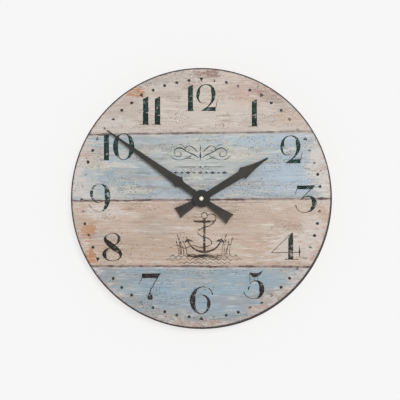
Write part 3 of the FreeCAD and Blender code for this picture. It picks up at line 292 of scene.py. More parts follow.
# Weathered places: middle x and z, half width, half height, tint and how much it covers
PATCHES = (
    (-112, 120, 34, 22, STONE, 0.3), (-92, 146, 15, 7, RUST, 0.8),
    (-108, 130, 16, 6, PINK, 0.5), (-78, 163, 30, 8, SMOKE, 0.6),
    (9, 172, 15, 5, BROWN, 0.85), (-30, 168, 26, 8, STONE, 0.35),
    (60, 152, 34, 13, PINK, 0.7), (98, 142, 26, 11, BROWN, 0.5),
    (122, 116, 22, 14, ROSE, 0.6), (-120, 104, 30, 8, CREAM, 0.6),
    (-164, 38, 22, 46, CREAM, 0.85), (-148, 58, 18, 16, PINK, 0.4),
    (-118, 46, 24, 4, CREAM, 0.7), (-105, 36, 14, 4, STRAW, 0.7),
    (-66, 28, 36, 3, PINK, 0.5), (-75, 15, 30, 3, SMOKE, 0.7),
    (-130, 22, 34, 14, TEAL, 0.35), (-10, 62, 62, 22, STRAW, 0.4),
    (58, 62, 30, 6, STRAW, 0.45), (75, 80, 50, 10, SKY, 0.6),
    (118, 30, 42, 22, SKY, 0.7), (166, 52, 18, 40, CREAM, 0.85),
    (172, 18, 12, 26, CREAM, 0.8), (-60, 8, 70, 3, SKY, 0.4),
    (-134, -18, 30, 9, CREAM, 0.7), (-158, -44, 11, 13, RUST, 0.85),
    (-166, -34, 13, 14, UMBER, 0.5), (-153, -79, 8, 12, RUST, 0.9),
    (-132, -52, 22, 5, STONE, 0.5), (-60, -38, 34, 12, STONE, 0.35),
    (-86, -70, 60, 14, UMBER, 0.7), (82, -64, 22, 10, ROSE, 0.7),
    (40, -30, 76, 10, UMBER, 0.5), (130, -36, 22, 9, PINK, 0.65),
    (154, -60, 20, 34, CREAM, 0.65), (173, -28, 7, 20, ROSE, 0.8),
    (160, -82, 9, 16, RUST, 0.5), (-132, -112, 20, 14, STONE, 0.5),
    (-108, -138, 26, 8, SMOKE, 0.6), (-64, -160, 30, 7, STONE, 0.7),
    (-86, -148, 12, 3, UMBER, 0.6), (0, -170, 60, 8, STONE, 0.7),
    (18, -171, 9, 3, RUST, 0.6), (74, -152, 16, 5, UMBER, 0.7),
    (48, -140, 40, 9, SMOKE, 0.5), (30, -126, 40, 7, TEAL, 0.6),
    (96, -112, 40, 12, TEAL, 0.35), (122, -128, 22, 10, STONE, 0.6),
    (146, -108, 18, 10, CREAM, 0.4), (118, -66, 30, 18, CREAM, 0.6),
    (106, -134, 30, 9, SMOKE, 0.7), (92, -150, 22, 6, PINK, 0.6),
    (-6, -174, 40, 5, PINK, 0.6), (-150, -100, 18, 7, CREAM, 0.7),
    (0, 66, 44, 4, SMOKE, 0.35), (40, 20, 60, 5, SMOKE, 0.4),
    (-60, 70, 40, 5, SMOKE, 0.35), (-118, -112, 32, 13, SLATE, 0.6),
    (-88, -140, 34, 10, SLATE, 0.6), (10, -163, 50, 6, SLATE, 0.5),
    (-104, 34, 34, 9, SLATE, 0.4), (-40, 12, 40, 6, SLATE, 0.35),
    (60, 34, 30, 5, SLATE, 0.3), (120, 128, 24, 8, STONE, 0.4),
    (-60, -128, 60, 9, TEAL, 0.4), (-40, -104, 70, 7, SLATE, 0.35),
    (125, 86, 20, 6, SKY, 0.5), (-124, -98, 16, 6, SLATE, 0.6),
    (-156, 36, 9, 8, TEAL, 0.5), (-82, 85, 22, 6, SLATE, 0.35),
    (60, 136, 24, 8, ROSE, 0.5), (-140, 43, 20, 4, STRAW, 0.75),
    (-84, 10, 24, 4, STRAW, 0.6), (-121, 9, 5, 6, CREAM, 0.6))

# Tones of the print's small marks, and of the dark line round it, which painted shade broadens
# below and at the lower right
GRAIN_BROWN = srgb(130, 116, 104)
BRUSHED_PALE = srgb(236, 232, 226)
CRACK_BROWN = srgb(112, 98, 88)
SPECK_DARK = srgb(86, 76, 70)
LIP_PALE = srgb(214, 204, 194)
ROSEWOOD = srgb(140, 104, 98)
RIM_LINE = srgb(28, 18, 20)

SEAM_WANDER = 2.4
SPLIT_BELOW = 4.4
PATCH_STREW = (20.0, 0.0, 11.0)
RIM_WEAR_FROM = 168.0
RIM_WEAR_TO = 173.0
RIM_LINE_FROM = 177.2
RIM_LINE_TO = 178.9


def seam_heights(finish, spot, x, z):
    """How far a point is above each seam, whose line wanders a little."""
    wander = finish.noise(spot, (34, 400, 400), detail=4, seed=1)
    heights = []
    for middle, rise, *_ in SEAMS:
        seam = finish.maths("MULTIPLY_ADD", x, rise, middle)
        seam = finish.stir(seam, wander, SEAM_WANDER)
        heights.append(finish.maths("SUBTRACT", z, seam))
    return heights


def streaked_planks(finish, spot, heights, broken, patchy):
    """The four planks one under another, each in its own paints with dabs and streaks."""
    dabs = finish.stir(broken, patchy, 0.7)
    calm = finish.noise(spot, (46, 60, 15), detail=3, seed=26)
    force = finish.fade(calm, 0.38, 0.62, 0.3, 1.0)
    paint = None
    for number, (body, light, dark, tint, dab) in enumerate(PLANK_PAINTS):
        broad = finish.noise(spot, (85, 60, 11), detail=3, seed=3 + number)
        streak = finish.noise(spot, (40, 60, 3.2), detail=5, rough=0.62, seed=8 + number)
        plank = finish.mix(finish.fade(broad, 0.42, 0.68, 0, 0.75), body, tint)
        plank = finish.mix(finish.fade(dabs, 0.53, 0.6, 0, 0.75), plank, dab)
        pale_share = finish.maths("MULTIPLY", finish.fade(streak, 0.53, 0.66), force)
        dark_share = finish.maths("MULTIPLY", finish.fade(streak, 0.46, 0.33), force)
        plank = finish.mix(pale_share, plank, light)
        plank = finish.mix(dark_share, plank, dark)
        if paint is None:
            paint = plank
        else:
            paint = finish.mix(finish.fade(heights[number - 1], 0.5, -0.5), paint, plank)
    return paint, streak


def weathered_patches(finish, spot, paint, broken):
    """The weathered places, each an ellipse whose edge is strewn about and frayed."""
    shake = finish.add("TexNoise", spot)
    shake.inputs["Scale"].default_value = 0.11
    shake.inputs["Detail"].default_value = 5.0
    shake.inputs["Roughness"].default_value = 0.7
    shaken = finish.add("VectorMath", shake.outputs["Color"], (0.5, 0.5, 0.5),
                        operation="SUBTRACT")
    strewn = finish.add("VectorMath", shaken.outputs[0], PATCH_STREW, spot,
                        operation="MULTIPLY_ADD")
    frayed = finish.fade(broken, 0.3, 0.7, -0.75, 0.75)
    for x, z, half_width, half_height, tint, cover in PATCHES:
        # One sum centres and scales a patch: a Mapping node for each would be too many to render
        near = finish.add("VectorMath", strewn.outputs[0],
                          (1 / half_width, 0, 1 / half_height),
                          (-x / half_width, 0, -z / half_height), operation="MULTIPLY_ADD")
        away = finish.add("VectorMath", near.outputs[0], operation="LENGTH").outputs["Value"]
        away = finish.maths("ADD", away, frayed)
        paint = finish.mix(finish.fade(away, 1.1, 0.8, 0, cover), paint, tint)
    return paint


def worn_rim(finish, paint, reach, lower_right, broken, patchy, ragged):
    """Primer that shows in ragged places near the rim, most at the lower right."""
    bare = finish.stir(reach, broken, 90)
    bare = finish.stir(bare, patchy, 60)
    bare = finish.maths("ADD", bare, finish.fade(lower_right, 60, 240, -9, 4))
    primer = finish.mix(finish.fade(ragged, 0.4, 0.6), CREAM, PINK)
    return finish.mix(finish.fade(bare, RIM_WEAR_FROM, RIM_WEAR_TO, 0, 0.6), paint, primer)


def aged(finish, spot, paint):
    """Grain, brush marks, fine cracks and crowds of dark specks all over the planks."""
    grain = finish.noise(spot, (55, 60, 0.9), detail=4, rough=0.6, seed=14)
    paint = finish.mix(finish.fade(grain, 0.56, 0.78, 0, 0.5), paint, GRAIN_BROWN, "MULTIPLY")
    brushed = finish.noise(spot, (26, 60, 1.6), detail=3, rough=0.5, seed=15)
    paint = finish.mix(finish.fade(brushed, 0.55, 0.8, 0, 0.5), paint, BRUSHED_PALE)
    cracks = finish.noise(spot, (30, 60, 1.3), detail=6, rough=0.75, seed=16, twist=0.4)
    paint = finish.mix(finish.fade(cracks, 0.36, 0.24, 0, 0.75), paint, CRACK_BROWN)
    specks = finish.noise(spot, (2.1, 60, 1.7), detail=3, rough=0.85, seed=17)
    crowd = finish.noise(spot, (40, 60, 15), detail=4, rough=0.6, seed=18)
    speck_share = finish.maths("MULTIPLY", finish.fade(specks, 0.54, 0.62, 0, 0.85),
                               finish.fade(crowd, 0.46, 0.6, 0.12, 1))
    return finish.mix(speck_share, paint, SPECK_DARK), grain, cracks, specks


def seamed(finish, spot, paint, heights, broken, ragged):
    """The seams: a pale lip below, a stained edge, and a line of uneven width and tone."""
    swell = finish.noise(spot, (19, 400, 26), detail=3, rough=0.6, seed=28)
    faint = finish.noise(spot, (30, 400, 60), detail=4, rough=0.65, seed=29)
    faint = finish.fade(faint, 0.38, 0.6, 0.4, 1.0)
    for (_, _, half, line, edge), height in zip(SEAMS, heights):
        off = finish.maths("ABSOLUTE", height)
        lip = finish.maths("MULTIPLY", finish.fade(height, -4.6, -2.6),
                           finish.fade(height, -1.0, -2.0))
        lip = finish.maths("MULTIPLY", lip, finish.fade(broken, 0.42, 0.56, 0, 0.6))
        paint = finish.mix(lip, paint, LIP_PALE)
        soft = finish.maths("ADD", off, finish.fade(broken, 0.35, 0.65, -1.8, 1.8))
        off = finish.maths("ADD", off, finish.fade(swell, 0.36, 0.66, -0.6, 0.45))
        paint = finish.mix(finish.fade(soft, half * 2.8, half * 0.8, 0, 0.6), paint, edge)
        core = finish.maths("ADD", off, finish.fade(ragged, 0.35, 0.65, -0.7, 0.35))
        drawn = finish.maths("MULTIPLY", finish.fade(core, half, half * 0.4, 0, 0.95), faint)
        paint = finish.mix(drawn, paint, line)
    return paint


def split_wood(finish, paint, height, x, ragged):
    """A split in the third plank that runs along the middle seam, right of the hands."""
    split = finish.maths("ABSOLUTE", finish.maths("ADD", height, SPLIT_BELOW))
    split = finish.maths("ADD", split, finish.fade(ragged, 0.35, 0.65, -0.5, 0.6))
    length = finish.maths("MULTIPLY", finish.fade(x, 12, 30), finish.fade(x, 105, 70))
    split = finish.maths("MULTIPLY", finish.fade(split, 0.9, 0.2, 0, 0.7), length)
    return finish.mix(split, paint, ROSEWOOD)


def dark_rim_and_painted_shade(finish, paint, reach, lower_right, z, specks):
    """The dark line round the print's edge, broadened below and at the lower right by painted
    shade.
    """
    rimward = finish.maths("ADD", reach, finish.fade(specks, 0.3, 0.7, -0.4, 0.4))
    # Painted shade: the line is widened at the lower right and below, where the edge turns away
    # from the light
    rimward = finish.maths("ADD", rimward, finish.fade(lower_right, 120, 240, 0, 1.1))
    rimward = finish.maths("ADD", rimward, finish.fade(z, -40, -150, 0, 0.5))
    share = finish.fade(rimward, RIM_LINE_FROM, RIM_LINE_TO, 0, 0.95)
    return finish.mix(share, paint, RIM_LINE)


def plank_paint(finish, spot):
    """The planks' colour, with the streak, grain and crack patterns that make it."""
    across = finish.add("SeparateXYZ", spot)
    x, z = across.outputs["X"], across.outputs["Z"]
    ragged = finish.noise(spot, (9, 40, 5), detail=4, rough=0.65, seed=2)
    heights = seam_heights(finish, spot, x, z)
    broken = finish.noise(spot, (17, 60, 3.4), detail=6, rough=0.74, seed=20)
    patchy = finish.noise(spot, (58, 60, 24), detail=2, seed=24)
    paint, streak = streaked_planks(finish, spot, heights, broken, patchy)
    paint = weathered_patches(finish, spot, paint, broken)
    reach = finish.reach(spot)
    lower_right = finish.maths("SUBTRACT", x, z)
    paint = worn_rim(finish, paint, reach, lower_right, broken, patchy, ragged)
    paint, grain, cracks, specks = aged(finish, spot, paint)
    paint = seamed(finish, spot, paint, heights, broken, ragged)
    paint = split_wood(finish, paint, heights[1], x, ragged)
    paint = dark_rim_and_painted_shade(finish, paint, reach, lower_right, z, specks)
    return paint, streak, grain, cracks


def dress(finish, *names):
    """Give parts of the frame a finish."""
    for name in names:
        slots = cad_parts[name].data.materials
        slots.clear()
        slots.append(finish.material)


planks = Finish("painted_planks", roughness=0.42, gloss=0.3)
paint, streak, grain, cracks = plank_paint(planks, planks.place())
planks.colour(paint)
planks.roughness(planks.fade(streak, 0.3, 0.7, 0.36, 0.5))
planks.bump(planks.maths("ADD", grain, planks.maths("MULTIPLY", cracks, 0.5)), 0.12, 0.15)
dress(planks, "dial_print")

# Board: a 4 mm fibreboard disc sawn round, its softened edge painted a brown near black.
# The back is left raw, with paint mist from the edge on its outer few millimetres.

EDGE_PAINT = (srgb(20, 14, 13), srgb(38, 28, 25))
RAW_BOARD = (srgb(190, 161, 124), srgb(176, 146, 108), srgb(206, 181, 147))
MIST_FROM = 171.0
MIST_TO = 179.0

board = Finish("fibreboard", roughness=0.85, gloss=0.2)
spot = board.place()
felted = board.noise(spot, (38, 38, 30), detail=7, rough=0.72, seed=21)
fibres = board.noise(spot, (0.6, 0.6, 0.6), detail=3, rough=0.7, seed=22)
raw = board.mix(board.fade(felted, 0.35, 0.65), RAW_BOARD[0], RAW_BOARD[1])
raw = board.mix(board.fade(fibres, 0.55, 0.75, 0, 0.7), raw, RAW_BOARD[2])
reach = board.reach(spot)
mist = board.maths("ADD", reach, board.fade(fibres, 0.3, 0.7, -2.5, 2.5))
edge_tone = board.mix(board.fade(felted, 0.3, 0.7, 0, 0.6), *EDGE_PAINT)
board.colour(board.mix(board.fade(mist, MIST_FROM, MIST_TO), raw, edge_tone))
board.roughness(board.fade(reach, MIST_FROM, MIST_TO, 0.9, 0.55))
board.bump(fibres, 0.25, 0.2)
dress(board, "dial_board")

# Numerals: stencilled in thick and thin strokes, printed dark green above and brown below.
# The ink is worn, so the planks' paint shows through it. Strokes are drawn from their middle.

INK_THICK = 0.05
INK_LAYER = 0.006
INK_SUNK = 0.01
WELD = 0.00001
INK_TURN_FROM = -20.0
INK_TURN_TO = -78.0
INK_TURN_SLOPE = 0.12
INK_ABOVE = (srgb(20, 44, 39), srgb(44, 70, 63))
INK_BELOW = (srgb(32, 26, 24), srgb(58, 50, 45))

# Pen strokes of each figure: how they run, then points with x, z and the stroke's width there.
# The letter I stands for a plain upright one.
DIGITS = {
    "0": (("loop", (-11.2, 0, 7.3), (-9.3, 10.5, 5.2), (-5.0, 16.4, 1.6), (0, 18.2, 0.6),
           (5.0, 16.4, 1.6), (9.3, 10.5, 5.2), (11.2, 0, 7.3), (9.3, -10.5, 5.2),
           (5.0, -16.4, 1.6), (0, -18.2, 0.6), (-5.0, -16.4, 1.6), (-9.3, -10.5, 5.2)),),
    "1": (("line", (0, -18.0, 7.3), (0, 14.4, 7.3), (3.5, 18.9, 0.4)),
          ("line", (-7.8, -18.2, 0.6), (5.6, -18.2, 0.6))),
    "I": (("line", (0, -17.6, 7.0), (0, 17.6, 7.0)),),
    "2": (("curve", (-1.2, -6.3, 0.8), (-7.3, -7.5, 0.9), (-12.6, -1.8, 2.6),
           (-12.3, 6.4, 5.2), (-9.9, 14.6, 2.2), (-2.4, 18.8, 0.8), (6.1, 16.4, 2.6),
           (9.2, 8.2, 6.4), (9.2, -0.6, 4.8), (5.4, -8.2, 2.4), (-1.2, -14.8, 1.0),
           (-7.4, -18.9, 0.6)),
          ("line", (-8.0, -18.8, 0.3), (-1.4, -16.4, 5.2), (12.6, -16.1, 5.8)),
          ("line", (12.9, -14.0, 1.0), (15.3, -2.7, 0.5))),
    "3": (("line", (-12.0, 15.6, 5.2), (8.4, 15.8, 5.6), (12.4, 18.4, 0.4)),
          ("line", (-11.8, 14.2, 1.0), (-15.0, 5.4, 0.5)),
          ("line", (7.4, 13.4, 1.2), (-7.2, -1.6, 0.9)),
          ("curve", (-7.2, -1.6, 0.8), (-0.4, 2.8, 1.2), (7.2, 2.6, 3.2),
           (11.8, -4.6, 7.2), (9.2, -13.2, 4.6), (2.4, -18.3, 0.9), (-5.9, -18.4, 0.6),
           (-11.9, -13.6, 0.8), (-13.9, -8.3, 1.4))),
    "4": (("line", (6.7, -18.2, 6.7), (6.7, 9.4, 6.7), (9.4, 18.3, 0.3)),
          ("line", (7.9, 16.8, 0.8), (-19.6, -9.6, 0.7)),
          ("line", (-19.6, -9.2, 0.8), (19.8, -9.0, 0.9)),
          ("line", (18.6, -0.8, 0.4), (18.6, -8.4, 2.0), (18.6, -15.4, 0.4)),
          ("line", (-1.5, -18.4, 0.8), (16.7, -18.4, 0.8))),
    "5": (("curve", (-5.0, 16.0, 2.2), (-1.0, 13.4, 5.6), (4.6, 13.6, 5.0),
           (12.0, 19.3, 0.4)),
          ("line", (-5.8, 17.4, 0.9), (-5.8, 1.0, 0.9)),
          ("curve", (-5.8, 1.0, 0.8), (-2.0, 4.4, 0.9), (2.6, 5.4, 1.4), (8.0, 2.4, 4.6),
           (10.6, -6.2, 7.4), (8.4, -14.8, 4.2), (3.5, -18.8, 1.0), (-1.5, -19.4, 0.6),
           (-10.2, -16.0, 0.8), (-14.6, -10.4, 1.5)),
          ("line", (-6.8, -2.5, 1.6), (-8.0, -6.8, 1.8))),
    "6": (("curve", (15.8, 7.4, 1.5), (13.9, 13.4, 1.1), (5.5, 18.3, 0.6),
           (-4.2, 16.4, 1.8), (-9.6, 9.4, 5.6), (-11.6, 0.6, 8.2), (-9.8, -10.0, 5.6),
           (-4.6, -16.9, 2.0), (0.9, -18.6, 0.9), (7.0, -15.4, 2.4), (10.8, -5.0, 5.2),
           (8.5, 3.4, 3.0), (1.8, 7.2, 0.9), (-4.5, 5.4, 0.8)),),
    "7": (("line", (-10.8, 15.0, 6.2), (9.4, 15.0, 6.4), (14.6, 18.0, 0.4)),
          ("line", (-10.3, 12.4, 1.0), (-14.8, 3.8, 0.5)),
          ("curve", (10.6, 12.6, 1.1), (4.2, 2.0, 0.9), (0.0, -7.4, 1.5),
           (0.2, -11.4, 5.0), (0.3, -14.6, 8.0), (0.4, -17.4, 4.6))),
    "8": (("curve", (-7.0, 16.2, 0.9), (-9.2, 11.6, 3.6), (-4.4, 5.2, 7.2),
           (4.0, -1.6, 7.8), (11.2, -8.6, 4.4), (10.2, -14.4, 1.5), (1.2, -18.6, 0.6)),
          ("curve", (-7.4, 15.6, 0.8), (0.6, 18.5, 0.6), (7.8, 15.8, 2.0),
           (9.2, 10.4, 4.2), (5.4, 4.2, 1.4), (-2.2, -0.8, 0.8)),
          ("curve", (-1.6, -0.4, 0.7), (-8.0, -3.8, 3.0), (-10.2, -9.6, 5.8),
           (-6.6, -16.4, 1.8), (1.4, -18.5, 0.6))),
    "9": (("curve", (6.4, -3.4, 0.8), (-1.0, -6.6, 0.9), (-8.4, -2.2, 2.4),
           (-11.2, 7.6, 4.2), (-7.4, 16.2, 2.0), (0.8, 19.2, 0.8), (7.6, 15.6, 3.8),
           (10.6, 6.6, 8.0), (10.4, -5.0, 7.2), (7.8, -13.5, 4.2), (3.4, -18.2, 1.4),
           (-1.4, -19.3, 0.6), (-9.4, -15.8, 0.6), (-14.9, -8.7, 1.0)),),
}

# Figures of each hour: figure, x and z of its middle, size and how worn it is
HOURS = (
    ("1", -15.2, 138.4, 0.97, 0.25), ("2", 7.4, 138.8, 0.96, 0.15),
    ("1", 72.9, 117.8, 1.0, 0.2), ("2", 123.8, 67.4, 1.0, 0.2),
    ("3", 143.6, -0.4, 1.0, 0.2), ("4", 116.2, -65.0, 1.02, 0.3),
    ("5", 72.6, -118.8, 1.0, 0.15), ("6", -0.6, -140.3, 1.0, 0.3),
    ("7", -71.0, -121.8, 1.02, 0.15), ("8", -123.2, -67.2, 1.03, 0.15),
    ("9", -140.3, 0.6, 1.0, 0.45), ("I", -130.9, 70.2, 1.0, 0.25),
    ("0", -107.2, 71.6, 1.0, 0.25), ("1", -76.9, 120.8, 1.05, 0.2),
    ("1", -60.6, 120.8, 1.05, 0.2))


def place_flat(shape, x, z, worn, layer=0, size=1.0, rest=dial_front, turn=0.0):
    """Stand a flat shape up on a face, give it a thickness and note its wear.

    Each layer lies a little above the last, so that strokes that cross share no face.
    """
    outward = -math.cos(turn) * MM
    shape.rotation_euler = (math.pi / 2, 0, turn)
    shape.location = (x * MM, rest + (layer * INK_LAYER - INK_SUNK) * outward, z * MM)
    shape.scale = (size, size, size)
    bpy.ops.object.transform_apply(location=True, rotation=True, scale=True)
    bpy.ops.object.mode_set(mode="EDIT")
    bpy.ops.mesh.select_all(action="SELECT")
    bpy.ops.mesh.remove_doubles(threshold=WELD)
    bpy.ops.mesh.extrude_region_move(
        TRANSFORM_OT_translate={"value": (0, (INK_THICK + INK_SUNK) * outward, 0)})
    bpy.ops.mesh.select_all(action="SELECT")
    bpy.ops.mesh.normals_make_consistent(inside=False)
    bpy.ops.object.mode_set(mode="OBJECT")
    wear = shape.data.attributes.new("wear", "FLOAT", "POINT")
    wear.data.foreach_set("value", [worn] * len(shape.data.vertices))


def pen_stroke(stroke, x, z, worn, layer=0, size=1.0, **face):
    """One stroke of the pen, as a flat ribbon of ink as wide as the stroke says."""
    way, *points = stroke
    bpy.ops.object.select_all(action="DESELECT")
    bpy.ops.curve.primitive_bezier_curve_add()
    pen = bpy.context.object
    line = pen.data
    line.twist_mode = "Z_UP"
    line.extrude = MM / 2
    line.resolution_u = 6
    line.splines.clear()
    path = line.splines.new("POLY" if way == "line" else "BEZIER")
    knots = path.points if way == "line" else path.bezier_points
    knots.add(len(points) - 1)
    for knot, (across, up, width) in zip(knots, points):
        if way == "line":
            knot.co = (across * MM, up * MM, 0, 1)
        else:
            knot.co = (across * MM, up * MM, 0)
            knot.handle_left_type = "AUTO"
            knot.handle_right_type = "AUTO"
        knot.radius = width
        knot.tilt = math.pi / 2
    path.use_cyclic_u = way == "loop"
    bpy.ops.object.convert(target="MESH")
    pen = bpy.context.object
    place_flat(pen, x, z, worn, layer, size, **face)
    return pen


def joined(name, shapes, finish, body):
    """Join shapes into one piece that rides on a body."""
    bpy.ops.object.select_all(action="DESELECT")
    for shape in shapes:
        shape.select_set(True)
    bpy.context.view_layer.objects.active = shapes[0]
    bpy.ops.object.join()
    piece = bpy.context.object
    piece.name = name
    piece.data.name = name
    piece.data.materials.clear()
    piece.data.materials.append(finish.material)
    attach(piece, body)
    return piece


def worn_ink(name, above, below):
    """Dull printing ink, dark above and browner below, gone in chips where it is worn."""
    ink = Finish(name, roughness=0.5, gloss=0.2)
    spot = ink.place()
    across = ink.add("SeparateXYZ", spot)
    up = ink.maths("MULTIPLY_ADD", across.outputs["X"], INK_TURN_SLOPE, across.outputs["Z"])
    blotch = ink.noise(spot, (7, 60, 4), detail=4, seed=31)
    upper = ink.mix(ink.fade(blotch, 0.4, 0.7), *above)
    lower = ink.mix(ink.fade(blotch, 0.4, 0.7), *below)
    tone = ink.mix(ink.fade(up, INK_TURN_FROM, INK_TURN_TO), upper, lower)
    under = plank_paint(ink, spot)[0]
    wear = ink.add("Attribute", attribute_name="wear").outputs["Fac"]
    chips = ink.noise(spot, (3.4, 60, 2.2), detail=6, rough=0.72, seed=32)
    thin = ink.noise(spot, (11, 60, 4.5), detail=3, seed=33)
    loss = ink.maths("ADD", ink.fade(chips, 0.3, 0.75, 0, 0.55),
                     ink.fade(thin, 0.3, 0.7, 0, 0.3))
    loss = ink.maths("MULTIPLY_ADD", wear, 0.5, loss)
    ink.colour(ink.mix(ink.fade(loss, 0.6, 0.81, 0, 0.9), tone, under))
    return ink


numeral_ink = worn_ink("numeral_ink", INK_ABOVE, INK_BELOW)
strokes = []
for figure, x, z, size, worn in HOURS:
    for layer, stroke in enumerate(DIGITS[figure]):
        strokes.append(pen_stroke(stroke, x, z, worn, layer, size))
joined("numerals", strokes, numeral_ink, "clock")

# Marks: a ring of small round minute dots, with a little triangle at each hour that points to
# the middle. They are printed in a thinner brown-grey ink, and many are half worn off.

MARK_INK = (srgb(38, 40, 36), srgb(70, 68, 61))
RING_MIDDLE = -0.6
DOT_RING = 163.8
DOT_SWAY = 0.5
DOT_RADIUS = 2.15
DOT_SIDES = 14
TRIANGLE_RING = 165.2
TRIANGLE_SIDE = 6.2
MARK_RAGGED = 0.28

# The dot at the minute hand's tip is printed further out, so as not to lengthen the hand
TIP_DOT = 51
TIP_DOT_OUT = 2.2

# Minutes whose dots are still clear, the wear of these and of the others, and worn hour marks
CLEAR_DOTS = (2, 4, 6, 7, 13, 14, 17, 18, 22, 23, 27, 28, 31, 32, 33, 34, 36, 37, 38, 41, 48,
              49, 53, 54, 56, 57, 59)
CLEAR_WEAR = 0.15
DOT_WEAR = (0.55, 0.95)
TRIANGLE_WEAR = {2: 0.1, 3: 0.7, 4: 0.6, 5: 0.7, 7: 0.6, 9: 0.7, 10: 0.5}

chance = random.Random(7)
marks = []
for minute in range(60):
    turn = math.radians(6 * minute)
    bpy.ops.object.select_all(action="DESELECT")
    if minute % 5:
        bpy.ops.mesh.primitive_circle_add(vertices=DOT_SIDES, radius=DOT_RADIUS * MM,
                                          fill_type="NGON")
        ring = DOT_RING + chance.uniform(-DOT_SWAY, DOT_SWAY)
        worn = CLEAR_WEAR if minute in CLEAR_DOTS else chance.uniform(*DOT_WEAR)
        if minute == TIP_DOT:
            ring += TIP_DOT_OUT
    else:
        bpy.ops.mesh.primitive_circle_add(vertices=3, radius=TRIANGLE_SIDE * MM / 3 ** 0.5,
                                          rotation=(0, 0, math.pi - turn), fill_type="NGON")
        bpy.ops.object.mode_set(mode="EDIT")
        bpy.ops.mesh.select_all(action="SELECT")
        bpy.ops.mesh.subdivide(number_cuts=3)
        bpy.ops.object.mode_set(mode="OBJECT")
        bpy.ops.object.transform_apply(rotation=True)
        ring = TRIANGLE_RING
        worn = TRIANGLE_WEAR.get(minute // 5, 0.0)
    mark = bpy.context.object
    for corner in mark.data.vertices:
        corner.co.x += chance.uniform(-MARK_RAGGED, MARK_RAGGED) * MM
        corner.co.y += chance.uniform(-MARK_RAGGED, MARK_RAGGED) * MM
    place_flat(mark, ring * math.sin(turn), RING_MIDDLE + ring * math.cos(turn), worn)
    marks.append(mark)
joined("minute_marks", marks, worn_ink("mark_ink", MARK_INK, MARK_INK), "clock")

# Upper ornament: a penman's flourish of two mirrored scrolls over a thin rule with lozenges,
# printed in the numerals' dark green ink on the upper blue plank.

ORNAMENT_INK = (srgb(52, 66, 66), srgb(88, 100, 100))
FLOURISH_X = -1.5
FLOURISH_Z = 62.0
SCROLL_WEAR = 0.05
LEAF_LAYER = 6

# Half of the flourish; the other half mirrors it
SCROLLS = (
    ("curve", (2.0, -6.0, 0.6), (9.0, -1.6, 1.9), (18.0, 2.2, 1.0), (27.0, 7.4, 1.9),
     (34.5, 5.4, 1.2), (36.0, -0.6, 0.7), (31.0, -4.4, 0.9), (26.4, -1.8, 1.2),
     (28.2, 1.6, 0.6)),
    ("curve", (4.0, 1.4, 0.5), (9.0, 7.4, 1.6), (16.0, 10.4, 0.7), (21.0, 7.0, 1.4),
     (18.6, 2.6, 0.6), (14.6, 4.4, 0.9)),
    ("curve", (8.0, -8.4, 0.4), (18.0, -6.4, 1.2), (27.0, -8.8, 0.5), (37.0, -7.0, 1.1),
     (43.0, -2.0, 0.4)),
    ("curve", (21.6, 8.0, 0.4), (25.0, 11.6, 1.0), (30.6, 12.2, 0.4)),
    ("curve", (12.0, -1.0, 0.4), (14.6, -4.6, 1.3), (20.4, -4.4, 0.4)))
MIDDLE_LEAF = (
    ("curve", (0.0, -9.0, 0.3), (0.0, -3.0, 2.6), (0.0, 3.0, 0.5)),
    ("curve", (0.0, 3.6, 0.3), (0.0, 7.6, 1.6), (0.0, 11.4, 0.3)))
RULES = (
    ("line", (-36.0, 0, 0.4), (-26.0, 0, 1.0), (-5.2, 0, 1.0), (-4.4, 0, 0.4)),
    ("line", (36.0, 0, 0.4), (26.0, 0, 1.0), (5.2, 0, 1.0), (4.4, 0, 0.4)))
LOZENGE = ("line", (-2.6, 0, 0.1), (0, 0, 2.6), (2.6, 0, 0.1))

# Under the scrolls: a rule with a lozenge, a row of lozenges and a short rule
RULE_Z = -18.5
RULE_WEAR = 0.1
RULE_LOZENGE_WEAR = 0.3
ROW_Z = -26.5
ROW_STEP = 8.4
ROW_WEAR = 0.35
SMALL_LOZENGE = 1.0
LARGE_LOZENGE = 1.5
BASE_Z = -35.5
BASE_SIZE = 0.62
BASE_WEAR = 0.4


def mirrored(stroke):
    """The same stroke on the other side of the middle."""
    way, *points = stroke
    return (way, *((-across, up, width) for across, up, width in points))


ornament_ink = worn_ink("ornament_ink", ORNAMENT_INK, ORNAMENT_INK)
shapes = []
for layer, scroll in enumerate(SCROLLS):
    for stroke in (scroll, mirrored(scroll)):
        shapes.append(pen_stroke(stroke, FLOURISH_X, FLOURISH_Z, SCROLL_WEAR, layer))
for stroke in MIDDLE_LEAF:
    shapes.append(pen_stroke(stroke, FLOURISH_X, FLOURISH_Z, SCROLL_WEAR, LEAF_LAYER))
for stroke in RULES:
    shapes.append(pen_stroke(stroke, FLOURISH_X, FLOURISH_Z + RULE_Z, RULE_WEAR))
shapes.append(pen_stroke(LOZENGE, FLOURISH_X, FLOURISH_Z + RULE_Z, RULE_LOZENGE_WEAR, layer=1))
for place in range(-4, 5):
    size = SMALL_LOZENGE if place % 2 else LARGE_LOZENGE
    shapes.append(pen_stroke(LOZENGE, FLOURISH_X + place * ROW_STEP, FLOURISH_Z + ROW_Z,
                             ROW_WEAR, size=size))
for stroke in RULES:
    shapes.append(pen_stroke(stroke, FLOURISH_X, FLOURISH_Z + BASE_Z, BASE_WEAR,
                             size=BASE_SIZE))
joined("flourish", shapes, ornament_ink, "clock")

# Lower ornament: an anchor with a rope round its shank over three rows of waves, drawn in thin
# strokes of brown ink on the lower cream plank.

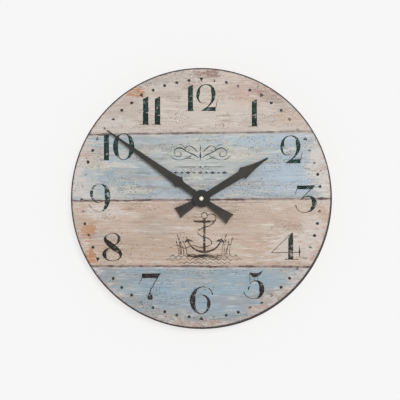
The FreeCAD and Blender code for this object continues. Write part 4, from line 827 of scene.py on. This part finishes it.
ANCHOR_INK = (srgb(58, 48, 42), srgb(98, 84, 74))
ANCHOR_X = 4.0
ANCHOR_Z = -50.5
ANCHOR_WEAR = 0.3
ANCHOR = (
    ("line", (-1.2, -22.0, 0.9), (-1.2, 22.0, 0.7)),
    ("line", (1.2, -22.0, 0.9), (1.2, 22.0, 0.7)),
    ("line", (0, -22.0, 1.8), (0, 22.0, 1.2)),
    ("line", (-15.0, 20.6, 1.2), (-13.0, 19.0, 2.6), (0, 18.6, 3.6), (13.0, 19.0, 2.6),
     (15.0, 20.6, 1.2)),
    ("loop", (0, 22.6, 1.2), (-4.2, 26.6, 1.2), (0, 31.0, 1.2), (4.2, 26.6, 1.2)),
    ("curve", (0, -23.6, 3.4), (-12.0, -20.2, 2.6), (-21.0, -11.6, 1.8),
     (-25.0, -2.0, 0.6)),
    ("curve", (0, -23.6, 3.4), (12.0, -20.2, 2.6), (21.0, -11.6, 1.8), (25.0, -2.0, 0.6)),
    ("curve", (-27.6, -10.4, 0.4), (-23.0, -7.4, 4.4), (-15.4, -8.6, 0.4)),
    ("curve", (27.6, -10.4, 0.4), (23.0, -7.4, 4.4), (15.4, -8.6, 0.4)))
ROPE = ("curve", (3.0, 27.0, 0.9), (11.0, 29.0, 1.1), (16.0, 24.0, 1.1), (9.0, 14.0, 1.2),
        (-3.0, 9.6, 1.3), (-9.0, 4.0, 1.2), (-3.0, -2.0, 1.3), (6.0, -5.0, 1.2),
        (10.0, -11.0, 1.2), (3.0, -15.6, 1.3), (-6.0, -17.0, 1.1), (-16.0, -14.0, 1.0),
        (-27.0, -18.0, 1.1), (-38.0, -14.0, 0.9), (-47.0, -17.4, 0.6))

# Waves: each row's height, half width and number of crests
WAVE_ROWS = ((-29.0, 47.0, 12), (-33.5, 52.0, 13), (-38.0, 36.0, 9))
WAVE_HIGH = 1.3
WAVE_UNEVEN = (0.6, 1.2)
WAVE_WIDTH = (0.45, 1.1)
WAVE_WEAR = 0.4

# Ground: short strokes heaped under the anchor
GROUND_STROKES = 46
GROUND_HALF = 23.0
GROUND_UP = (-31.5, -27.0)
GROUND_REACH = (2, 7)
GROUND_WIDTH = (0.8, 1.7)
GROUND_WEAR = 0.25
GROUND_LAYER = 2

# Reeds: a stem that leans outwards, with a thicker head at its top
REED_ROOTS = (-35.0, -31.5, -28.0, -33.0, 27.0, 31.0, 34.5, 29.0, -24.0, 24.0)
REED_BASE = -27.0
REED_TALL = (14, 31)
REED_LEAN = (2, 7)
STEM_LAYER = 10
HEAD_LAYER = 14

anchor_ink = worn_ink("anchor_ink", ANCHOR_INK, ANCHOR_INK)
shapes = []
for layer, stroke in enumerate((*ANCHOR, ROPE)):
    shapes.append(pen_stroke(stroke, ANCHOR_X, ANCHOR_Z, ANCHOR_WEAR, layer))
for up, half, crests in WAVE_ROWS:
    step = half / crests
    wave = ["curve"]
    for count in range(2 * crests + 1):
        lift = WAVE_HIGH if count % 2 else -WAVE_HIGH
        wave.append((-half + count * step, up + lift * chance.uniform(*WAVE_UNEVEN),
                     chance.uniform(*WAVE_WIDTH)))
    shapes.append(pen_stroke(wave, ANCHOR_X, ANCHOR_Z, WAVE_WEAR))
for count in range(GROUND_STROKES):
    middle = chance.uniform(-GROUND_HALF, GROUND_HALF)
    up = chance.uniform(*GROUND_UP)
    reach = chance.uniform(*GROUND_REACH)
    ground = ("curve", (middle - reach, up - 0.3, 0.3),
              (middle, up + 0.5, chance.uniform(*GROUND_WIDTH)),
              (middle + reach, up - 0.5, 0.3))
    shapes.append(pen_stroke(ground, ANCHOR_X, ANCHOR_Z, GROUND_WEAR,
                             GROUND_LAYER + count % 8))
for count, root in enumerate(REED_ROOTS):
    tall = chance.uniform(*REED_TALL)
    lean = chance.uniform(*REED_LEAN) * (1 if root > 0 else -1)
    stem = ("curve", (root, REED_BASE, 0.8), (root + lean * 0.25, REED_BASE + tall * 0.5, 0.9),
            (root + lean, REED_BASE + tall, 0.3))
    shapes.append(pen_stroke(stem, ANCHOR_X, ANCHOR_Z, ANCHOR_WEAR, STEM_LAYER + count % 4))
    head = ("curve", (root + lean * 0.62, REED_BASE + tall * 0.78, 0.4),
            (root + lean * 0.8, REED_BASE + tall * 0.9, 1.7), (root + lean, REED_BASE + tall, 0.4))
    shapes.append(pen_stroke(head, ANCHOR_X, ANCHOR_Z, ANCHOR_WEAR, HEAD_LAYER + count % 3))
joined("anchor_drawing", shapes, anchor_ink, "clock")

# Hands: stamped from 0.8 mm aluminium sheet and sprayed satin black-brown. The minute hand is
# pressed on its arbor, and the hour hand on the hour wheel's pipe by a brass collet.

HAND_PAINT = (srgb(28, 27, 23), srgb(48, 44, 38))
# Painted reflection: the hands' lower ends are painted a lighter, warmer brown
TAIL_PAINTED_SHEEN = srgb(60, 50, 42)
TAIL_FROM = -12.0
TAIL_TO = -26.0
# Painted shade: the hands are painted darker round the hub
HUB_PAINTED_SHADE = srgb(16, 17, 13)
HUB_FROM = 17.0
HUB_TO = 14.0
THIN_SPRAY = srgb(72, 64, 54)
COLLET_METAL = (srgb(170, 162, 148), srgb(196, 188, 172))

hands = Finish("hand_paint", roughness=0.46, gloss=0.25)
spot = hands.place()
spray = hands.noise(spot, (0.5, 0.5, 0.5), detail=3, seed=41)
drift = hands.noise(spot, (26, 26, 26), detail=2, seed=42)
tone = hands.mix(hands.fade(drift, 0.3, 0.7), *HAND_PAINT)
up = hands.add("SeparateXYZ", spot).outputs["Z"]
# A painted reflection lightens the lower ends, and painted shade darkens the hub
tone = hands.mix(hands.fade(up, TAIL_FROM, TAIL_TO, 0, 0.8), tone, TAIL_PAINTED_SHEEN)
tone = hands.mix(hands.fade(hands.reach(spot), HUB_FROM, HUB_TO, 0, 0.8), tone, HUB_PAINTED_SHADE)
hands.colour(hands.mix(hands.fade(spray, 0.5, 0.8, 0, 0.25), tone, THIN_SPRAY))
hands.roughness(hands.fade(spray, 0.3, 0.7, 0.38, 0.52))
hands.bump(spray, 0.12, 0.05)
dress(hands, "hour_hand", "minute_hand")


def turned_metal(name, dull, bright, roughness, seed, lay=(0.4, 8.0, 0.4)):
    """Machined or rolled metal with fine tool marks and a little tarnish."""
    metal = Finish(name, metallic=1.0)
    spot = metal.place()
    tool_marks = metal.noise(spot, lay, detail=3, seed=seed)
    tarnish = metal.noise(spot, (5, 5, 5), detail=4, seed=seed + 1)
    metal.colour(metal.mix(metal.fade(tarnish, 0.35, 0.7), bright, dull))
    metal.roughness(metal.fade(tool_marks, 0.3, 0.7, roughness * 0.8, roughness * 1.25))
    metal.bump(tool_marks, 0.08, 0.03)
    return metal


dress(turned_metal("collet_metal", *COLLET_METAL, roughness=0.34, seed=43),
      "hour_hand_collet")

# Cap nut: turned from brass with a domed face, and polished bright. It is screwed on the end
# of the minute arbor, over the minute hand.

CAP_BRASS = (srgb(212, 200, 178), srgb(246, 239, 224))

dress(turned_metal("polished_cap", *CAP_BRASS, roughness=0.2, seed=45), "cap_nut")

# Fixing: a brass threaded bush through the board, held by a brass nut over a flat brass washer,
# with a rubber gasket behind the board.

BUSH_BRASS = (srgb(172, 138, 78), srgb(212, 178, 110))
RUBBER = (srgb(30, 30, 31), srgb(48, 48, 50))

fixing_brass = turned_metal("fixing_brass", *BUSH_BRASS, roughness=0.3, seed=47)
dress(fixing_brass, "threaded_bush", "flat_washer", "fixing_nut")


def moulded(name, base, other, roughness, seed, grain_size=0.35, strength=0.15):
    """Injection-moulded plastic or rubber with a fine spark texture and flow marks."""
    plastic = Finish(name)
    spot = plastic.place()
    texture = plastic.noise(spot, (grain_size,) * 3, detail=2, seed=seed)
    flow = plastic.noise(spot, (14, 14, 14), detail=3, seed=seed + 1)
    plastic.colour(plastic.mix(plastic.fade(flow, 0.3, 0.7), base, other))
    plastic.roughness(
        plastic.fade(texture, 0.3, 0.7, roughness * 0.88, roughness * 1.12))
    plastic.bump(texture, strength, 0.05)
    return plastic


dress(moulded("gasket_rubber", *RUBBER, roughness=0.8, seed=49), "gasket_washer")

# Hanger: a zinc-plated sheet-steel tab that lies between the case and the board, with a round
# hole for the wall hook.

ZINC = (srgb(158, 162, 166), srgb(196, 199, 202))

dress(turned_metal("zinc_plate", *ZINC, roughness=0.36, seed=51, lay=(6.0, 6.0, 0.5)),
      "hanger")

# Case: the movement's black moulded box, closed at the back by a clipped cover with an open
# bay for one cell, and a grey setting knob.

CASE_BLACK = (srgb(33, 33, 35), srgb(42, 42, 44))
KNOB_GREY = (srgb(88, 88, 90), srgb(108, 108, 110))

dress(moulded("case_plastic", *CASE_BLACK, roughness=0.5, seed=53),
      "movement_case", "back_cover")
dress(moulded("knob_plastic", *KNOB_GREY, roughness=0.45, seed=55),
      "setting_knob", "setting_arbor")

# Markings: pad-printed in thin white ink on the cover, a double arrow round the setting knob
# and a plus and a minus over the cell's ends. The ink is let in until it stands only just proud.

WHITE_INK = (srgb(208, 208, 204), srgb(170, 170, 167))
COVER_FACE = 0.0
LET_IN = -6
KNOB_AT = (16.4, -0.7)
ARROW_RING = 8.2
ARROW_FROM = 32
ARROW_TO = 148
ARC_STEPS = 6
ARC_WIDTH = 0.75
HEAD_LONG = 16
HEAD_WIDTH = 2.2
HEAD_TIP = 0.05
SIGNS_Z = -8.0
PLUS_X = 20.5
SIGN_HALF = 1.5
SIGN_WIDTH = 0.7


def on_ring(degrees, width):
    """A point of the arrow's ring round the knob, with the stroke's width there."""
    angle = math.radians(degrees)
    return (ARROW_RING * math.cos(angle), ARROW_RING * math.sin(angle), width)


def ring_arrow(start, end):
    """An arc round the knob with an arrowhead at each end, angles in degrees."""
    arc = ["curve"]
    for step in range(ARC_STEPS + 1):
        arc.append(on_ring(start + (end - start) * step / ARC_STEPS, ARC_WIDTH))
    heads = [("line", on_ring(foot, HEAD_WIDTH), on_ring(tip, HEAD_TIP))
             for foot, tip in ((start, start - HEAD_LONG), (end, end + HEAD_LONG))]
    return [arc, *heads]


white_ink = Finish("white_ink", roughness=0.5)
spot = white_ink.place()
fading = white_ink.noise(spot, (1.2, 1.2, 1.2), detail=3, seed=81)
white_ink.colour(white_ink.mix(white_ink.fade(fading, 0.4, 0.7), *WHITE_INK))
face = {"rest": COVER_FACE, "turn": math.pi}
shapes = [pen_stroke(stroke, *KNOB_AT, 0.0, LET_IN, **face)
          for stroke in ring_arrow(ARROW_FROM, ARROW_TO)]
bar = ("line", (-SIGN_HALF, 0, SIGN_WIDTH), (SIGN_HALF, 0, SIGN_WIDTH))
post = ("line", (0, -SIGN_HALF, SIGN_WIDTH), (0, SIGN_HALF, SIGN_WIDTH))
shapes.append(pen_stroke(bar, PLUS_X, SIGNS_Z, 0.0, LET_IN, **face))
shapes.append(pen_stroke(post, PLUS_X, SIGNS_Z, 0.0, LET_IN + 0.5, **face))
shapes.append(pen_stroke(bar, -PLUS_X, SIGNS_Z, 0.0, LET_IN, **face))
joined("cover_markings", shapes, white_ink, "clock")

# Gear train: white acetal wheels between moulded plates, a brass centre wheel and arbor, a
# bronze friction spring that couples the two, and a two-pole magnet on the rotor.

ACETAL = (srgb(226, 224, 214), srgb(238, 236, 228))
PLATE_GREY = (srgb(62, 62, 64), srgb(74, 74, 76))
FERRITE = (srgb(48, 46, 46), srgb(70, 68, 68))

dress(moulded("acetal", *ACETAL, roughness=0.4, seed=57, strength=0.06),
      "fifth_wheel", "seconds_wheel", "third_wheel", "motion_wheel", "hour_wheel", "rotor_pinion")
dress(moulded("plate_plastic", *PLATE_GREY, roughness=0.5, seed=59),
      "middle_plate", "train_plate")
dress(turned_metal("train_brass", *BUSH_BRASS, roughness=0.34, seed=61),
      "centre_wheel", "minute_arbor", "clutch_spring")
dress(moulded("ferrite", *FERRITE, roughness=0.55, seed=63, grain_size=0.2), "rotor_magnet")

# Motor and electronics: a soft-iron stator and coil core, a bobbin wound with enamelled copper,
# a small green circuit board with its crystal and a blob of resin, and plated contacts.

SOFT_IRON = (srgb(128, 128, 130), srgb(164, 164, 168))
BOBBIN = (srgb(212, 206, 190), srgb(224, 220, 206))
ENAMELLED = (srgb(140, 68, 34), srgb(196, 108, 58))
SOLDER_MASK = (srgb(22, 78, 46), srgb(34, 98, 60))
RESIN = (srgb(16, 16, 17), srgb(26, 26, 28))
TIN = (srgb(176, 178, 180), srgb(206, 208, 210))

dress(turned_metal("soft_iron", *SOFT_IRON, roughness=0.42, seed=65), "stator", "coil_core")
dress(turned_metal("screw_steel", *TIN, roughness=0.28, seed=67),
      "stator_screws", "quartz_crystal")
dress(moulded("bobbin_plastic", *BOBBIN, roughness=0.45, seed=69), "coil_bobbin")
dress(moulded("solder_mask", *SOLDER_MASK, roughness=0.3, seed=71), "circuit_board")
dress(moulded("resin_blob", *RESIN, roughness=0.22, seed=73, strength=0.03), "chip_blob")
dress(turned_metal("contact_plate", *TIN, roughness=0.32, seed=75),
      "negative_contact", "positive_contact")
winding = Finish("enamelled_wire", roughness=0.3, metallic=0.85)
spot = winding.place()
turns = winding.add("TexWave", spot, wave_type="BANDS", bands_direction="X")
turns.inputs["Scale"].default_value = 2.2
turns.inputs["Distortion"].default_value = 0.6
winding.colour(winding.mix(turns.outputs["Fac"], *ENAMELLED))
winding.bump(turns.outputs["Fac"], 0.4, 0.1)
dress(winding, "coil_winding")

# Cell: one AA cell, a nickel-plated can in a shrunk plastic film, plain green with a pale band
# at the positive end. It lies in the case's open bay, held between the two contacts.

CAN_TIN = (srgb(184, 186, 188), srgb(214, 216, 218))
JACKET_GREEN = srgb(52, 88, 70)
JACKET_BAND = srgb(196, 196, 188)
BAND_FROM = 10.0
BAND_FULL = 10.4
SCUFF_GREY = srgb(150, 150, 150)

dress(turned_metal("can_tin", *CAN_TIN, roughness=0.24, seed=77), "cell_can")
jacket = Finish("cell_film", roughness=0.3)
spot = jacket.place()
along = jacket.add("SeparateXYZ", spot).outputs["X"]
scuffs = jacket.noise(spot, (3, 0.6, 0.6), detail=5, rough=0.7, seed=79)
film = jacket.mix(jacket.fade(along, BAND_FROM, BAND_FULL), JACKET_GREEN, JACKET_BAND)
jacket.colour(jacket.mix(jacket.fade(scuffs, 0.6, 0.8, 0, 0.2), film, SCUFF_GREY))
jacket.roughness(jacket.fade(scuffs, 0.3, 0.7, 0.24, 0.4))
dress(jacket, "cell_jacket")
